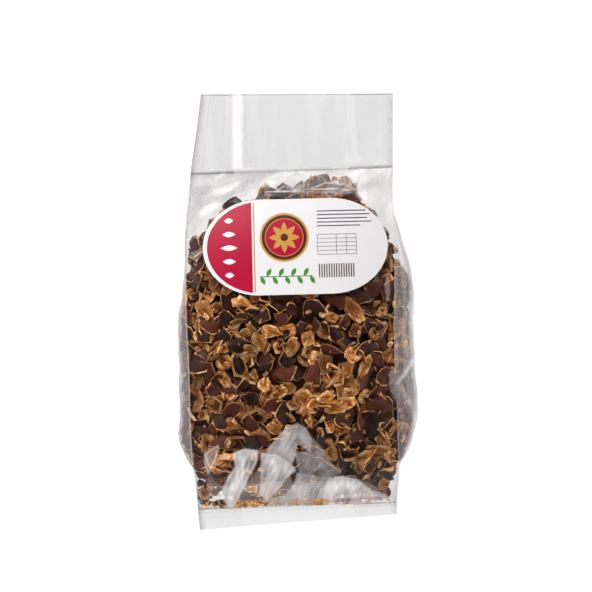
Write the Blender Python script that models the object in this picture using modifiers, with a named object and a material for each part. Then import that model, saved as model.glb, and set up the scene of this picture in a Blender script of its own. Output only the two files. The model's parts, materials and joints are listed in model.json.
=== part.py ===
"""Sealed side-gusset bag of clear film, filled with broken carob pods, lying on its back.

The bag lies along Y with its open mouth at +Y and its front, with the label, facing +Z.
The origin is under the middle of the bag, on the surface it lies on. The driving
dimensions are in millimetres, and the objects in metres.
"""

import math
import random
from collections import namedtuple

import bmesh
import bpy
import numpy as np
from mathutils import Matrix, Vector
from mathutils.bvhtree import BVHTree

MM = 0.001

# Cross sections of the bag from its bottom edge to its mouth. left and right are the
# front panel's two side creases. out is how far the gusset's middle fold stands outside
# its crease, and is negative where the gusset is tucked in between the panels. back,
# crease and front are heights over the surface, and slant is the rise of Y along X.
Station = namedtuple("Station", "y left right out_left out_right back crease front slant")
STATIONS = (
    Station(-148.6, -69.5, 69.3, -31.0, -31.0, 3.2, 5.0, 5.0, 0.081),
    Station(-137.5, -71.0, 69.4, -31.0, -31.0, 5.0, 6.8, 6.8, 0.035),
    Station(-134.0, -71.2, 69.5, -31.0, -31.0, 4.6, 8.0, 8.4, 0.033),
    Station(-118.0, -72.4, 70.4, -7.0, -6.0, 0.8, 18.0, 27.0, 0.020),
    Station(-102.0, -74.5, 70.3, 4.5, 4.5, 0.0, 26.0, 37.0, 0.008),
    Station(-88.0, -75.3, 69.8, 8.8, 10.5, 0.0, 30.0, 42.0, 0.0),
    Station(-66.0, -76.0, 69.3, 7.2, 15.0, 0.0, 33.0, 45.0, 0.0),
    Station(-40.0, -76.6, 67.8, 7.2, 14.2, 0.0, 34.0, 46.0, 0.0),
    Station(-12.0, -78.0, 67.2, 6.8, 13.6, 0.0, 33.5, 45.0, 0.0),
    Station(10.0, -78.8, 67.6, 3.2, 13.4, 0.0, 32.0, 43.5, 0.0),
    Station(31.0, -79.0, 67.7, 0.6, 11.0, 0.0, 30.0, 40.5, 0.0),
    Station(50.0, -79.2, 67.3, 0.2, 5.8, 0.0, 27.0, 36.5, 0.004),
    Station(67.0, -78.6, 66.9, -3.0, 0.6, 0.5, 23.0, 31.5, 0.012),
    Station(81.0, -77.3, 66.0, -13.0, -12.0, 1.8, 18.5, 25.0, 0.022),
    Station(92.0, -76.5, 66.3, -26.0, -25.0, 3.8, 12.6, 16.0, 0.030),
    Station(101.0, -75.8, 66.5, -31.0, -31.0, 5.6, 9.0, 9.0, 0.034),
    Station(127.0, -72.1, 66.6, -31.0, -31.0, 2.9, 6.3, 6.3, 0.018),
    Station(153.5, -68.8, 66.9, -31.0, -31.0, 1.0, 4.4, 4.4, 0.005),
)
BOTTOM_SEAL = -134.0

# The film is modelled at a thickness that a solid can carry. The real film is 0.05 mm.
FILM = 0.5
FRONT_BOW_POWER = 2.4
LIP_SHARE, LIP_MOST = 0.4, 2.0
FOLD_SHARE, FOLD_MOST = 0.1, 2.5
SHARPEST_MITRE = 0.5
FRONT_STEPS, GUSSET_STEPS, BACK_STEPS = 8, 3, 4
SECTION_YS = (
    -148.6, -141.0, -136.5, -134.0, -128.0, -121.0, -113.0, -104.0, -94.0, -82.0, -66.0,
    -48.0, -30.0, -12.0, 6.0, 22.0, 36.0, 48.0, 59.0, 69.0, 78.0, 86.0, 92.0, 97.0, 101.0,
    112.0, 130.0, 153.5,
)

# The label is a straight middle with a half ellipse at each end.
LABEL_X, LABEL_Y, LABEL_TURN_DEG = -2.2, 45.3, 1.45
LABEL_STRAIGHT, LABEL_END, LABEL_HALF_HEIGHT = 25.0, 39.4, 33.4
LABEL_THICK, LABEL_GAP = 0.3, 0.6
LABEL_RINGS, LABEL_END_STEPS, LABEL_EDGE_STEPS = 5, 16, 5

# The heap of pod pieces. HEAP_TOP is its upper outline across the bag, as (x, y).
HEAP_FOOT = -130.5
HEAP_TOP = (
    (-80.0, 46.0), (-62.0, 64.0), (-48.0, 73.0), (-30.0, 77.0), (-6.0, 83.0), (24.0, 91.0),
    (40.0, 89.0), (56.0, 74.0), (70.0, 52.0),
)
HEAP_SHEAR_START, HEAP_SHEAR_POWER = 0.55, 1.5
HEAP_ROUND_START, HEAP_END_BLUNT = 0.86, 0.25
HEAP_SQUARENESS = 3.4
HEAP_CLEAR = 1.4
CORE_DEPTH = 4.0
CORE_RINGS, CORE_SIDES = 15, 18

# The pod pieces are broken plates of pod wall, lying flat to the film and tilted at random.
PIECE_SEED = 41
PIECE_TRIES = 24000
PIECE_SPACING = 13.9
PIECE_HALF_LENGTH = (8.6, 14.2)
PIECE_HALF_WIDTH = (7.0, 10.6)
PIECE_THICK = (2.8, 4.4)
PIECE_TAPER = 0.88
PIECE_SIDES = (4, 5, 5, 6)
PIECE_CORNER = (0.8, 1.12)
PIECE_TILT_DEG = 17.0
PIECE_SINK = 1.4
FILM_CLEARANCE = 0.7
SETTLE_PASSES, SETTLE_EXTRA = 12, 0.1
TEST_GROWTH = 1.06


def column_slopes(ys, values):
    """Slopes of a cubic through the points that never overshoots them."""
    steps = np.diff(ys)
    rises = np.diff(values) / steps
    slopes = np.empty(len(ys))
    slopes[0], slopes[-1] = rises[0], rises[-1]
    for i in range(1, len(ys) - 1):
        before, after = rises[i - 1], rises[i]
        slopes[i] = 0.0 if before * after <= 0 else 2 * before * after / (before + after)
    return slopes


class Profile:
    """The station columns as smooth functions of y."""

    def __init__(self, rows):
        self.ys = np.array([row.y for row in rows])
        self.columns = {}
        for name in Station._fields[1:]:
            values = np.array([getattr(row, name) for row in rows])
            self.columns[name] = (values, column_slopes(self.ys, values))

    def at(self, y):
        y = min(max(y, self.ys[0]), self.ys[-1])
        i = min(int(np.searchsorted(self.ys, y, side="right")) - 1, len(self.ys) - 2)
        step = self.ys[i + 1] - self.ys[i]
        t = (y - self.ys[i]) / step
        found = []
        for name in Station._fields[1:]:
            values, slopes = self.columns[name]
            found.append(
                values[i] * (1 + 2 * t) * (1 - t) ** 2
                + slopes[i] * step * t * (1 - t) ** 2
                + values[i + 1] * t * t * (3 - 2 * t)
                + slopes[i + 1] * step * t * t * (t - 1)
            )
        return Station(y, *found)


PROFILE = Profile(STATIONS)


def front_height(x, y):
    """Height of the front panel's outer face."""
    row = PROFILE.at(y)
    half = (row.right - row.left) / 2
    u = min(1.0, abs(x - (row.left + row.right) / 2) / half)
    return row.crease + (row.front - row.crease) * (1 - u**FRONT_BOW_POWER)


def gusset_half(crease_x, out, start_z, fold_z):
    """Points of one half of a gusset, from the panel's crease to the middle fold."""
    points = []
    for i in range(GUSSET_STEPS + 1):
        turn = i / GUSSET_STEPS * math.pi / 2
        x = crease_x + out * math.sin(turn)
        z = start_z + (fold_z - start_z) * (1 - math.cos(turn))
        points.append((x, z))
    return points


def section(y):
    """The outer outline of the film at y, as (x, z), clockwise seen from the mouth's side."""
    row = PROFILE.at(y)
    depth = row.crease - row.back
    lip = min(LIP_SHARE * depth, LIP_MOST)
    fold = min(FOLD_SHARE * depth, FOLD_MOST)
    middle = (row.crease + row.back) / 2
    points = []
    for i in range(FRONT_STEPS + 1):
        x = row.left + (row.right - row.left) * i / FRONT_STEPS
        points.append((x, front_height(x, y)))
    points += gusset_half(row.right, row.out_right, row.crease - lip, middle + fold)
    points += reversed(gusset_half(row.right, row.out_right, row.back + lip, middle - fold))
    for i in range(BACK_STEPS + 1):
        points.append((row.right + (row.left - row.right) * i / BACK_STEPS, row.back))
    points += gusset_half(row.left, -row.out_left, row.back + lip, middle - fold)
    points += reversed(gusset_half(row.left, -row.out_left, row.crease - lip, middle + fold))
    return points


def inset(points, distance):
    """The outline moved inwards by distance, with mitred corners."""
    moved = []
    for i, (x, z) in enumerate(points):
        before = (Vector((x, z)) - Vector(points[i - 1])).normalized()
        after = (Vector(points[(i + 1) % len(points)]) - Vector((x, z))).normalized()
        reach = distance / max(1 + before.dot(after), SHARPEST_MITRE)
        moved.append((x + (before.y + after.y) * reach, z - (before.x + after.x) * reach))
    return moved


def placed(points, y):
    """Section points as vectors in metres, on the station's slanted plane."""
    slant = PROFILE.at(y).slant
    return [Vector((x, y + slant * x, z)) * MM for x, z in points]


def loft(bm, rings, outward):
    """Quads between neighbouring rings of points, facing out or in. Returns the vertices."""
    rows = [[bm.verts.new(point) for point in ring] for ring in rings]
    for lower, upper in zip(rows, rows[1:]):
        for i in range(len(lower)):
            k = (i + 1) % len(lower)
            corners = (lower[i], upper[i], upper[k], lower[k])
            bm.faces.new(corners if outward else corners[::-1])
    return rows


def new_object(name, bm, collection, material=None):
    """An object of the closed mesh in bm, with its faces turned outwards."""
    bm.normal_update()
    bmesh.ops.recalc_face_normals(bm, faces=bm.faces)
    mesh = bpy.data.meshes.new(name)
    bm.to_mesh(mesh)
    bm.free()
    found = bpy.data.objects.new(name, mesh)
    collection.objects.link(found)
    if material:
        mesh.materials.append(material)
    return found


def inner_rings():
    return [placed(inset(section(y), FILM), y) for y in SECTION_YS if y >= BOTTOM_SEAL]


def build_film(collection, material):
    """One skin of film: a tube welded flat at its foot and open at its mouth."""
    bm = bmesh.new()
    outer = loft(bm, [placed(section(y), y) for y in SECTION_YS], outward=True)
    inner = loft(bm, inner_rings(), outward=False)
    count = len(outer[-1])
    for i in range(count):
        k = (i + 1) % count
        bm.faces.new((outer[-1][i], inner[-1][i], inner[-1][k], outer[-1][k]))
    bm.faces.new(outer[0])
    bm.faces.new(inner[0][::-1])
    return new_object("film_bag", bm, collection, material)


def cavity_tree():
    """The film's inner face, with its normals pointing out of the cavity."""
    bm = bmesh.new()
    rows = loft(bm, inner_rings(), outward=True)
    bm.faces.new(rows[0])
    bm.faces.new(rows[-1][::-1])
    bm.normal_update()
    bmesh.ops.recalc_face_normals(bm, faces=bm.faces)
    tree = BVHTree.FromBMesh(bm)
    bm.free()
    return tree


def heap_top(x):
    xs = [point[0] for point in HEAP_TOP]
    ys = [point[1] for point in HEAP_TOP]
    return float(np.interp(x, xs, ys))


def signed_power(value, power):
    return math.copysign(abs(value) ** power, value)


def heap_point(along, turn, depth):
    """A point of the heap's surface, sunk by depth.

    along runs from 0 at the heap's foot to 1 at its top, and turn round the bag.
    """
    top = max(y for _, y in HEAP_TOP)
    y = HEAP_FOOT + depth + (top - HEAP_FOOT - 2 * depth) * along
    row = PROFILE.at(y)
    clear = FILM + HEAP_CLEAR + depth
    low = row.left - row.out_left + clear
    high = row.right + row.out_right - clear
    x = (low + high) / 2 + (high - low) / 2 * signed_power(math.cos(turn), 2 / HEAP_SQUARENESS)
    shear = max(0.0, (along - HEAP_SHEAR_START) / (1 - HEAP_SHEAR_START)) ** HEAP_SHEAR_POWER
    y += shear * (heap_top(x) - top)
    row = PROFILE.at(y)
    floor = row.back + clear
    roof = max(front_height(x, y) - clear, floor + 1.0)
    rounding = max(0.0, (along - HEAP_ROUND_START) / (1 - HEAP_ROUND_START))
    rise = signed_power(math.sin(turn), 2 / HEAP_SQUARENESS)
    round_end, straight_end = math.sqrt(max(0.0, 1 - rounding**2)), 1 - rounding
    rise *= round_end + HEAP_END_BLUNT * (straight_end - round_end)
    return Vector((x, y + row.slant * x, (floor + roof) / 2 + (roof - floor) / 2 * rise))


def heap_normal(along, turn, step=0.004):
    """The direction out of the heap, from its surface's slopes along the bag and round it."""
    across = heap_point(along, turn + step, 0) - heap_point(along, turn - step, 0)
    up = heap_point(min(along + step, 1), turn, 0) - heap_point(max(along - step, 0), turn, 0)
    return up.cross(across).normalized()


def build_core(collection, material):
    """The inside of the heap, as a globe of rings shaped to the bag."""
    bm = bmesh.new()
    bmesh.ops.create_uvsphere(bm, u_segments=CORE_SIDES, v_segments=CORE_RINGS, radius=1.0)
    for vert in bm.verts:
        along = 1 - math.acos(max(-1.0, min(1.0, vert.co.z))) / math.pi
        turn = math.atan2(vert.co.y, vert.co.x)
        if along in (0.0, 1.0):
            ends = (heap_point(along, 0, CORE_DEPTH), heap_point(along, math.pi, CORE_DEPTH))
            vert.co = (ends[0] + ends[1]) / 2 * MM
        else:
            vert.co = heap_point(along, turn, CORE_DEPTH) * MM
    return new_object("pod_pieces", bm, collection, material)


Piece = namedtuple("Piece", "centre axes half_length half_width thick corners")


def scattered_spots(draw):
    """Spots on the heap's surface, spread evenly by a least distance between them."""
    spots = []
    taken = np.empty((0, 3))
    for _ in range(PIECE_TRIES):
        along, turn = draw.uniform(0.01, 0.995), draw.uniform(-math.pi, math.pi)
        point = heap_point(along, turn, 0)
        if np.all(np.linalg.norm(taken - point, axis=1) > PIECE_SPACING):
            taken = np.vstack([taken, point])
            spots.append((point, heap_normal(along, turn)))
    return spots


def corner_points(piece, grow=1.0):
    """The corners of a piece's outer and inner face, in millimetres."""
    points = []
    for side, share in ((1, PIECE_TAPER), (-1, 1.0)):
        for i, reach in enumerate(piece.corners):
            angle = math.tau * i / len(piece.corners)
            local = Vector((
                math.cos(angle) * reach * piece.half_length * share * grow,
                math.sin(angle) * reach * piece.half_width * share * grow,
                side * piece.thick / 2,
            ))
            points.append(piece.centre + piece.axes @ local)
    return points


def meets_film(piece, tree):
    """Whether the piece, a little enlarged, cuts through the film's inner face."""
    count = len(piece.corners)
    faces = [tuple(range(count)), tuple(range(count, 2 * count))]
    for i in range(count):
        k = (i + 1) % count
        faces.append((i, k, count + k, count + i))
    corners = [point * MM for point in corner_points(piece, TEST_GROWTH)]
    return bool(tree.overlap(BVHTree.FromPolygons(corners, faces)))


def settled(piece, tree):
    """The piece pushed away from the film until it is clear, or nothing if it never is."""
    for _ in range(SETTLE_PASSES):
        corners = corner_points(piece)
        middles = [(point + corners[i - 1]) / 2 for i, point in enumerate(corners)]
        reaches = []
        for point in corners + middles:
            place, outward, _, _ = tree.find_nearest(point * MM)
            reaches.append(((point - place / MM).dot(outward), outward))
        reach, outward = max(reaches, key=lambda pair: pair[0])
        if reach <= -FILM_CLEARANCE:
            return None if meets_film(piece, tree) else piece
        push = reach + FILM_CLEARANCE + SETTLE_EXTRA
        piece = piece._replace(centre=piece.centre - outward * push)
    return None


def lay_pieces(tree):
    draw = random.Random(PIECE_SEED)
    pieces = []
    for point, normal in scattered_spots(draw):
        sides = draw.choice(PIECE_SIDES)
        tilt = Matrix.Rotation(math.radians(draw.uniform(-PIECE_TILT_DEG, PIECE_TILT_DEG)), 3, "X")
        roll = Matrix.Rotation(math.radians(draw.uniform(-PIECE_TILT_DEG, PIECE_TILT_DEG)), 3, "Y")
        spin = Matrix.Rotation(draw.uniform(0, math.tau), 3, "Z")
        thick = draw.uniform(*PIECE_THICK)
        piece = Piece(
            centre=point - normal * (thick / 2 + PIECE_SINK),
            axes=normal.to_track_quat("Z", "Y").to_matrix() @ tilt @ roll @ spin,
            half_length=draw.uniform(*PIECE_HALF_LENGTH),
            half_width=draw.uniform(*PIECE_HALF_WIDTH),
            thick=thick,
            corners=[draw.uniform(*PIECE_CORNER) for _ in range(sides)],
        )
        pieces.append(settled(piece, tree))
    return [piece for piece in pieces if piece]


def build_piece(index, piece, collection):
    """One broken plate: a short cone whose corners are pulled to the broken outline."""
    bm = bmesh.new()
    bmesh.ops.create_cone(
        bm, cap_ends=True, segments=len(piece.corners), radius1=1.0, radius2=PIECE_TAPER, depth=2.0
    )
    ends = corner_points(piece)
    count = len(piece.corners)
    for vert in bm.verts:
        turn = math.atan2(vert.co.y, vert.co.x) / math.tau * count
        i = round(turn) % count
        vert.co = ends[i if vert.co.z > 0 else count + i] * MM
    return new_object(f"plate_{index}", bm, collection)


def keep_largest_shell(mesh):
    """Drops loose scraps, and the walls of hollows that the pieces have closed in."""
    bm = bmesh.new()
    bm.from_mesh(mesh)
    unseen = set(bm.verts)
    shells = []
    while unseen:
        shell, edge_of_search = set(), [unseen.pop()]
        while edge_of_search:
            vert = edge_of_search.pop()
            shell.add(vert)
            near = {edge.other_vert(vert) for edge in vert.link_edges} & unseen
            unseen -= near
            edge_of_search.extend(near)
        shells.append(shell)
    largest = max(shells, key=len)
    bmesh.ops.delete(bm, geom=[vert for vert in bm.verts if vert not in largest], context="VERTS")
    bm.to_mesh(mesh)
    bm.free()


def build_heap(collection, material):
    """The pieces joined to the core by one Boolean union, as one node."""
    plates = bpy.data.collections.new("plates")
    bpy.context.scene.collection.children.link(plates)
    for index, piece in enumerate(lay_pieces(cavity_tree())):
        build_piece(index, piece, plates)
    heap = build_core(collection, material)
    union = heap.modifiers.new("join_plates", "BOOLEAN")
    union.operation = "UNION"
    union.operand_type = "COLLECTION"
    union.collection = plates
    union.solver = "MANIFOLD"
    bpy.context.view_layer.update()
    joined = bpy.data.meshes.new_from_object(heap.evaluated_get(bpy.context.evaluated_depsgraph_get()))
    keep_largest_shell(joined)
    heap.modifiers.clear()
    heap.data = joined
    for plate in list(plates.objects):
        bpy.data.objects.remove(plate, do_unlink=True)
    bpy.data.collections.remove(plates)
    return heap


def label_outline():
    """The label's outline: the right end, the top edge, then both turned half way round."""
    half = []
    for i in range(LABEL_END_STEPS + 1):
        turn = math.pi * (i / LABEL_END_STEPS - 0.5)
        x = LABEL_STRAIGHT + LABEL_END * math.cos(turn)
        half.append(Vector((x, LABEL_HALF_HEIGHT * math.sin(turn))))
    for i in range(1, LABEL_EDGE_STEPS):
        x = LABEL_STRAIGHT * (1 - 2 * i / LABEL_EDGE_STEPS)
        half.append(Vector((x, LABEL_HALF_HEIGHT)))
    return half + [-point for point in half]


def on_front(flat):
    """A point of the flat label, turned, moved to its place and laid over the front panel."""
    spot = Matrix.Rotation(math.radians(LABEL_TURN_DEG), 2) @ flat + Vector((LABEL_X, LABEL_Y))
    station_y = spot.y - PROFILE.at(spot.y).slant * spot.x
    return Vector((spot.x, spot.y, front_height(spot.x, station_y) + LABEL_GAP)) * MM


def build_label(collection, material):
    """A paper sticker that lies on the front panel."""
    bm = bmesh.new()
    centre = bm.verts.new(on_front(Vector((0, 0))))
    outline = label_outline()
    rings = []
    for ring in range(1, LABEL_RINGS + 1):
        rings.append([bm.verts.new(on_front(flat * ring / LABEL_RINGS)) for flat in outline])
    for i in range(len(outline)):
        k = (i + 1) % len(outline)
        bm.faces.new((centre, rings[0][i], rings[0][k]))
        for inner, outer in zip(rings, rings[1:]):
            bm.faces.new((inner[i], outer[i], outer[k], inner[k]))
    label = new_object("label", bm, collection, material)
    skin = label.modifiers.new("paper", "SOLIDIFY")
    skin.thickness = LABEL_THICK * MM
    skin.offset = 1.0
    return label


def make_material(name, colour, roughness):
    material = bpy.data.materials.new(name)
    material.use_nodes = True
    shader = material.node_tree.nodes["Principled BSDF"]
    shader.inputs["Base Color"].default_value = (*colour, 1.0)
    shader.inputs["Roughness"].default_value = roughness
    shader.inputs["Metallic"].default_value = 0.0
    return material


def main():
    for old in list(bpy.data.objects):
        bpy.data.objects.remove(old, do_unlink=True)
    bag = bpy.data.collections.new("carob_bag")
    bpy.context.scene.collection.children.link(bag)
    clear_film = make_material("clear_film", (0.85, 0.86, 0.88), 0.1)
    carob = make_material("carob", (0.13, 0.062, 0.03), 0.6)
    paper = make_material("label_paper", (0.85, 0.84, 0.84), 0.5)
    build_film(bag, clear_film)
    build_heap(bag, carob)
    build_label(bag, paper)


main()
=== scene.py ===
"""Looks of a clear side-gusset bag of chopped carob pods, lying on its back.

The bag's form is the frame's own, worked out again with finer sections. The film gets its
creases and welds, the filling is laid piece by piece under it, and the label is printed
with plain figures. Sizes are in millimetres here and in metres on the objects.
"""

import json
import math
import random
from collections import namedtuple

import bmesh
import bpy
import numpy as np
from mathutils import Euler, Matrix, Vector, noise
from mathutils.bvhtree import BVHTree
from mathutils.geometry import delaunay_2d_cdt

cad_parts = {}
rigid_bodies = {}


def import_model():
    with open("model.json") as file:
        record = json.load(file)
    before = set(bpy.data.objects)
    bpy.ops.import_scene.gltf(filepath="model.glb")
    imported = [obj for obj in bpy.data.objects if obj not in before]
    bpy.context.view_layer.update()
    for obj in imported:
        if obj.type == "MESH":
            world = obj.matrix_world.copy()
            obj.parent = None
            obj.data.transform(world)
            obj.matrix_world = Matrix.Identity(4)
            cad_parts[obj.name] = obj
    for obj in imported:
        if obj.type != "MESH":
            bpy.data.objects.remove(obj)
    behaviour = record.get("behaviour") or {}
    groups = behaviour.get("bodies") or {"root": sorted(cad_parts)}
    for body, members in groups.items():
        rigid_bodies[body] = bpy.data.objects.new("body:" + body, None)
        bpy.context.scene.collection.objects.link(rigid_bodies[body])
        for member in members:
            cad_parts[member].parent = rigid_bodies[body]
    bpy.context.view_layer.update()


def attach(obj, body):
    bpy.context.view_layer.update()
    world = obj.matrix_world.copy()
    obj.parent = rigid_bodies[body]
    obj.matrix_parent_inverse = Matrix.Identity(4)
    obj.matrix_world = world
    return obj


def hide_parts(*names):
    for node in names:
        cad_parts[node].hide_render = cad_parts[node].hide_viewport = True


bl_info = {
    "name": "Carob bag",
    "version": (1, 0, 0),
    "blender": (4, 5, 0),
    "location": "3D View > Sidebar > Carob bag",
    "description": "Makes the film, the filling and the label of a bag of chopped carob pods",
    "category": "Object",
}

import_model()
MM = 0.001
BODY = "root"

# Cross sections of the bag from its bottom edge to its mouth. left and right are the
# front panel's two side creases. out is how far the gusset's middle fold stands outside
# its crease, and is negative where the gusset is tucked in between the panels. back,
# crease and front are heights over the surface, and slant is the rise of Y along X.
Station = namedtuple("Station", "y left right out_left out_right back crease front slant")
STATIONS = (
    Station(-148.6, -69.5, 69.3, -31.0, -31.0, 3.2, 5.0, 5.0, 0.081),
    Station(-137.5, -71.0, 69.4, -31.0, -31.0, 5.0, 6.8, 6.8, 0.035),
    Station(-134.0, -71.2, 69.5, -31.0, -31.0, 4.6, 8.0, 8.4, 0.033),
    Station(-118.0, -72.4, 70.4, -7.0, -6.0, 0.8, 18.0, 27.0, 0.020),
    Station(-102.0, -74.5, 70.3, 4.5, 4.5, 0.0, 26.0, 37.0, 0.008),
    Station(-88.0, -75.3, 69.8, 8.8, 10.5, 0.0, 30.0, 42.0, 0.0),
    Station(-66.0, -76.0, 69.3, 7.2, 15.0, 0.0, 33.0, 45.0, 0.0),
    Station(-40.0, -76.6, 67.8, 7.2, 14.2, 0.0, 34.0, 46.0, 0.0),
    Station(-12.0, -78.0, 67.2, 6.8, 13.6, 0.0, 33.5, 45.0, 0.0),
    Station(10.0, -78.8, 67.6, 3.2, 13.4, 0.0, 32.0, 43.5, 0.0),
    Station(31.0, -79.0, 67.7, 0.6, 11.0, 0.0, 30.0, 40.5, 0.0),
    Station(50.0, -79.2, 67.3, 0.2, 5.8, 0.0, 27.0, 36.5, 0.004),
    Station(67.0, -78.6, 66.9, -3.0, 0.6, 0.5, 23.0, 31.5, 0.012),
    Station(81.0, -77.3, 66.0, -13.0, -12.0, 1.8, 18.5, 25.0, 0.022),
    Station(92.0, -76.5, 66.3, -26.0, -25.0, 3.8, 12.6, 16.0, 0.030),
    Station(101.0, -75.8, 66.5, -31.0, -31.0, 5.6, 9.0, 9.0, 0.034),
    Station(127.0, -72.1, 66.6, -31.0, -31.0, 2.9, 6.3, 6.3, 0.018),
    Station(153.5, -68.8, 66.9, -31.0, -31.0, 1.0, 4.4, 4.4, 0.005),
)
FRONT_BOW_POWER = 2.4
LIP_SHARE, LIP_MOST = 0.4, 2.0
FOLD_SHARE, FOLD_MOST = 0.1, 2.5
FRONT_STEPS, GUSSET_STEPS, BACK_STEPS = 144, 9, 30
RING_STEP = 1.05
FOOT_WELD_Y, HEAD_WELD_Y = -138.0, 99.5

# The film's relief in millimetres: facets, pleats, slow swells, a ridge up the header and a
# bead on both sides of each weld. The side creases hold the panel still near them.
CRUMPLE_SEED, CRUMPLE_TRIES = 5, 9000
CRUMPLE_X, CRUMPLE_Y = (-92, 92), (-160, 165)
ROOM_PAST_WELDS, ROOM_AT_ENDS = 0.3, 1.6
RAY_START = 50
HELD_WIDTH = 6
PLEAT_LEAN, PLEAT_WIDTH, PLEAT_RUN, PLEAT_SUNK = 10, 15, 90, 0.6
SWELL = 0.5
RIDGE, RIDGE_X, RIDGE_Y, RIDGE_SLANT, RIDGE_WIDTH = 0.8, -42.0, 127, 0.03, 3.4
BEAD, BEAD_OFFSET, BEAD_WIDTH = 0.3, 0.9, 0.6
GUSSET_SWELL, GUSSET_CREASE = 1.6, 2.4

# How hazy and how grey the film looks, as shares, and the edges of its patches in
# millimetres. Part of the haziness is painted reflection and highlight: the bright stripe up
# the header, the veil and outer rim of the gussets and the lines along the side creases.
# Between TAUT_FROM and TAUT_TO the front panel is taut and clear.
HEADER_REFLECTION_BAND, HEADER_STREAKS, HEADER_SIDES = 0.5, 0.3, 0.06
SHOULDER_GREY, SHOULDER_FOLDS = 1.0, 2.2
GUSSET_HAZE_AND_GLARE_LEFT, GUSSET_HAZE_AND_GLARE_RIGHT, GUSSET_RIM_HIGHLIGHT = 0.42, 0.2, 0.6
GUSSET_GREY_LEFT, GUSSET_GREY_RIGHT = 1.0, 0.4
FOLD_HIGHLIGHT_LEFT, FOLD_HIGHLIGHT_RIGHT = 0.35, 0.3
SKIRT_PRESSED, HAZE_AND_GLARE_MOST = 0.35, 0.8
TAUT_FROM, TAUT_TO = -75, 50
TUCK_EDGE = (-0.4, 2.2)
PATCH_WANDER, PATCH_WANDER_SIZE, PATCH_SOFT, PATCH_FADE, CREASE_HALF = 1.4, 13.0, 0.9, 7, 1.0

# Folds that stand off the front panel, each a chain of (x, y, height).
FOLDS = (
    ((-46.0, -133.0, 0.0), (-31.0, -112.0, 3.4), (-22.0, -97.0, 3.6), (1.8, -79.0, 2.4)),
    ((-30.0, -131.0, -0.6), (-26.0, -115.0, -1.2), (-20.0, -102.0, 0.2)),
    ((1.8, -79.0, 2.4), (12.0, -92.0, 1.8), (30.0, -103.0, 1.4), (40.0, -113.0, 0.6)),
    ((-14.0, -130.0, 0.2), (-6.0, -116.0, 2.4), (2.0, -104.0, 1.6)),
    ((19.0, -130.0, 0.3), (24.0, -119.0, 2.0), (36.0, -117.0, 2.0), (45.0, -129.0, 0.3)),
    ((-66.0, -112.0, 0.2), (-60.0, -100.0, 1.6), (-50.0, -94.0, 1.2)),
    ((-62.0, -130.0, 0.2), (-55.0, -118.0, 1.4), (-46.0, -108.0, 1.2)),
    ((-72.0, 66.0, 0.0), (-58.0, 80.0, 1.8), (-34.0, 92.0, 1.6), (-12.0, 96.0, 0.2)),
    ((-66.0, 92.0, 0.4), (-50.0, 86.0, -0.8), (-28.0, 84.0, 0.4)),
    ((-24.0, 82.6, 0.8), (6.0, 83.4, 1.0), (34.0, 81.0, 0.9)),
    ((40.0, 96.0, 0.2), (46.0, 84.0, 1.6), (58.0, 70.0, 1.0)),
    ((60.0, 94.0, 0.3), (63.0, 80.0, 1.2), (65.0, 64.0, 0.2)),
)
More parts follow.
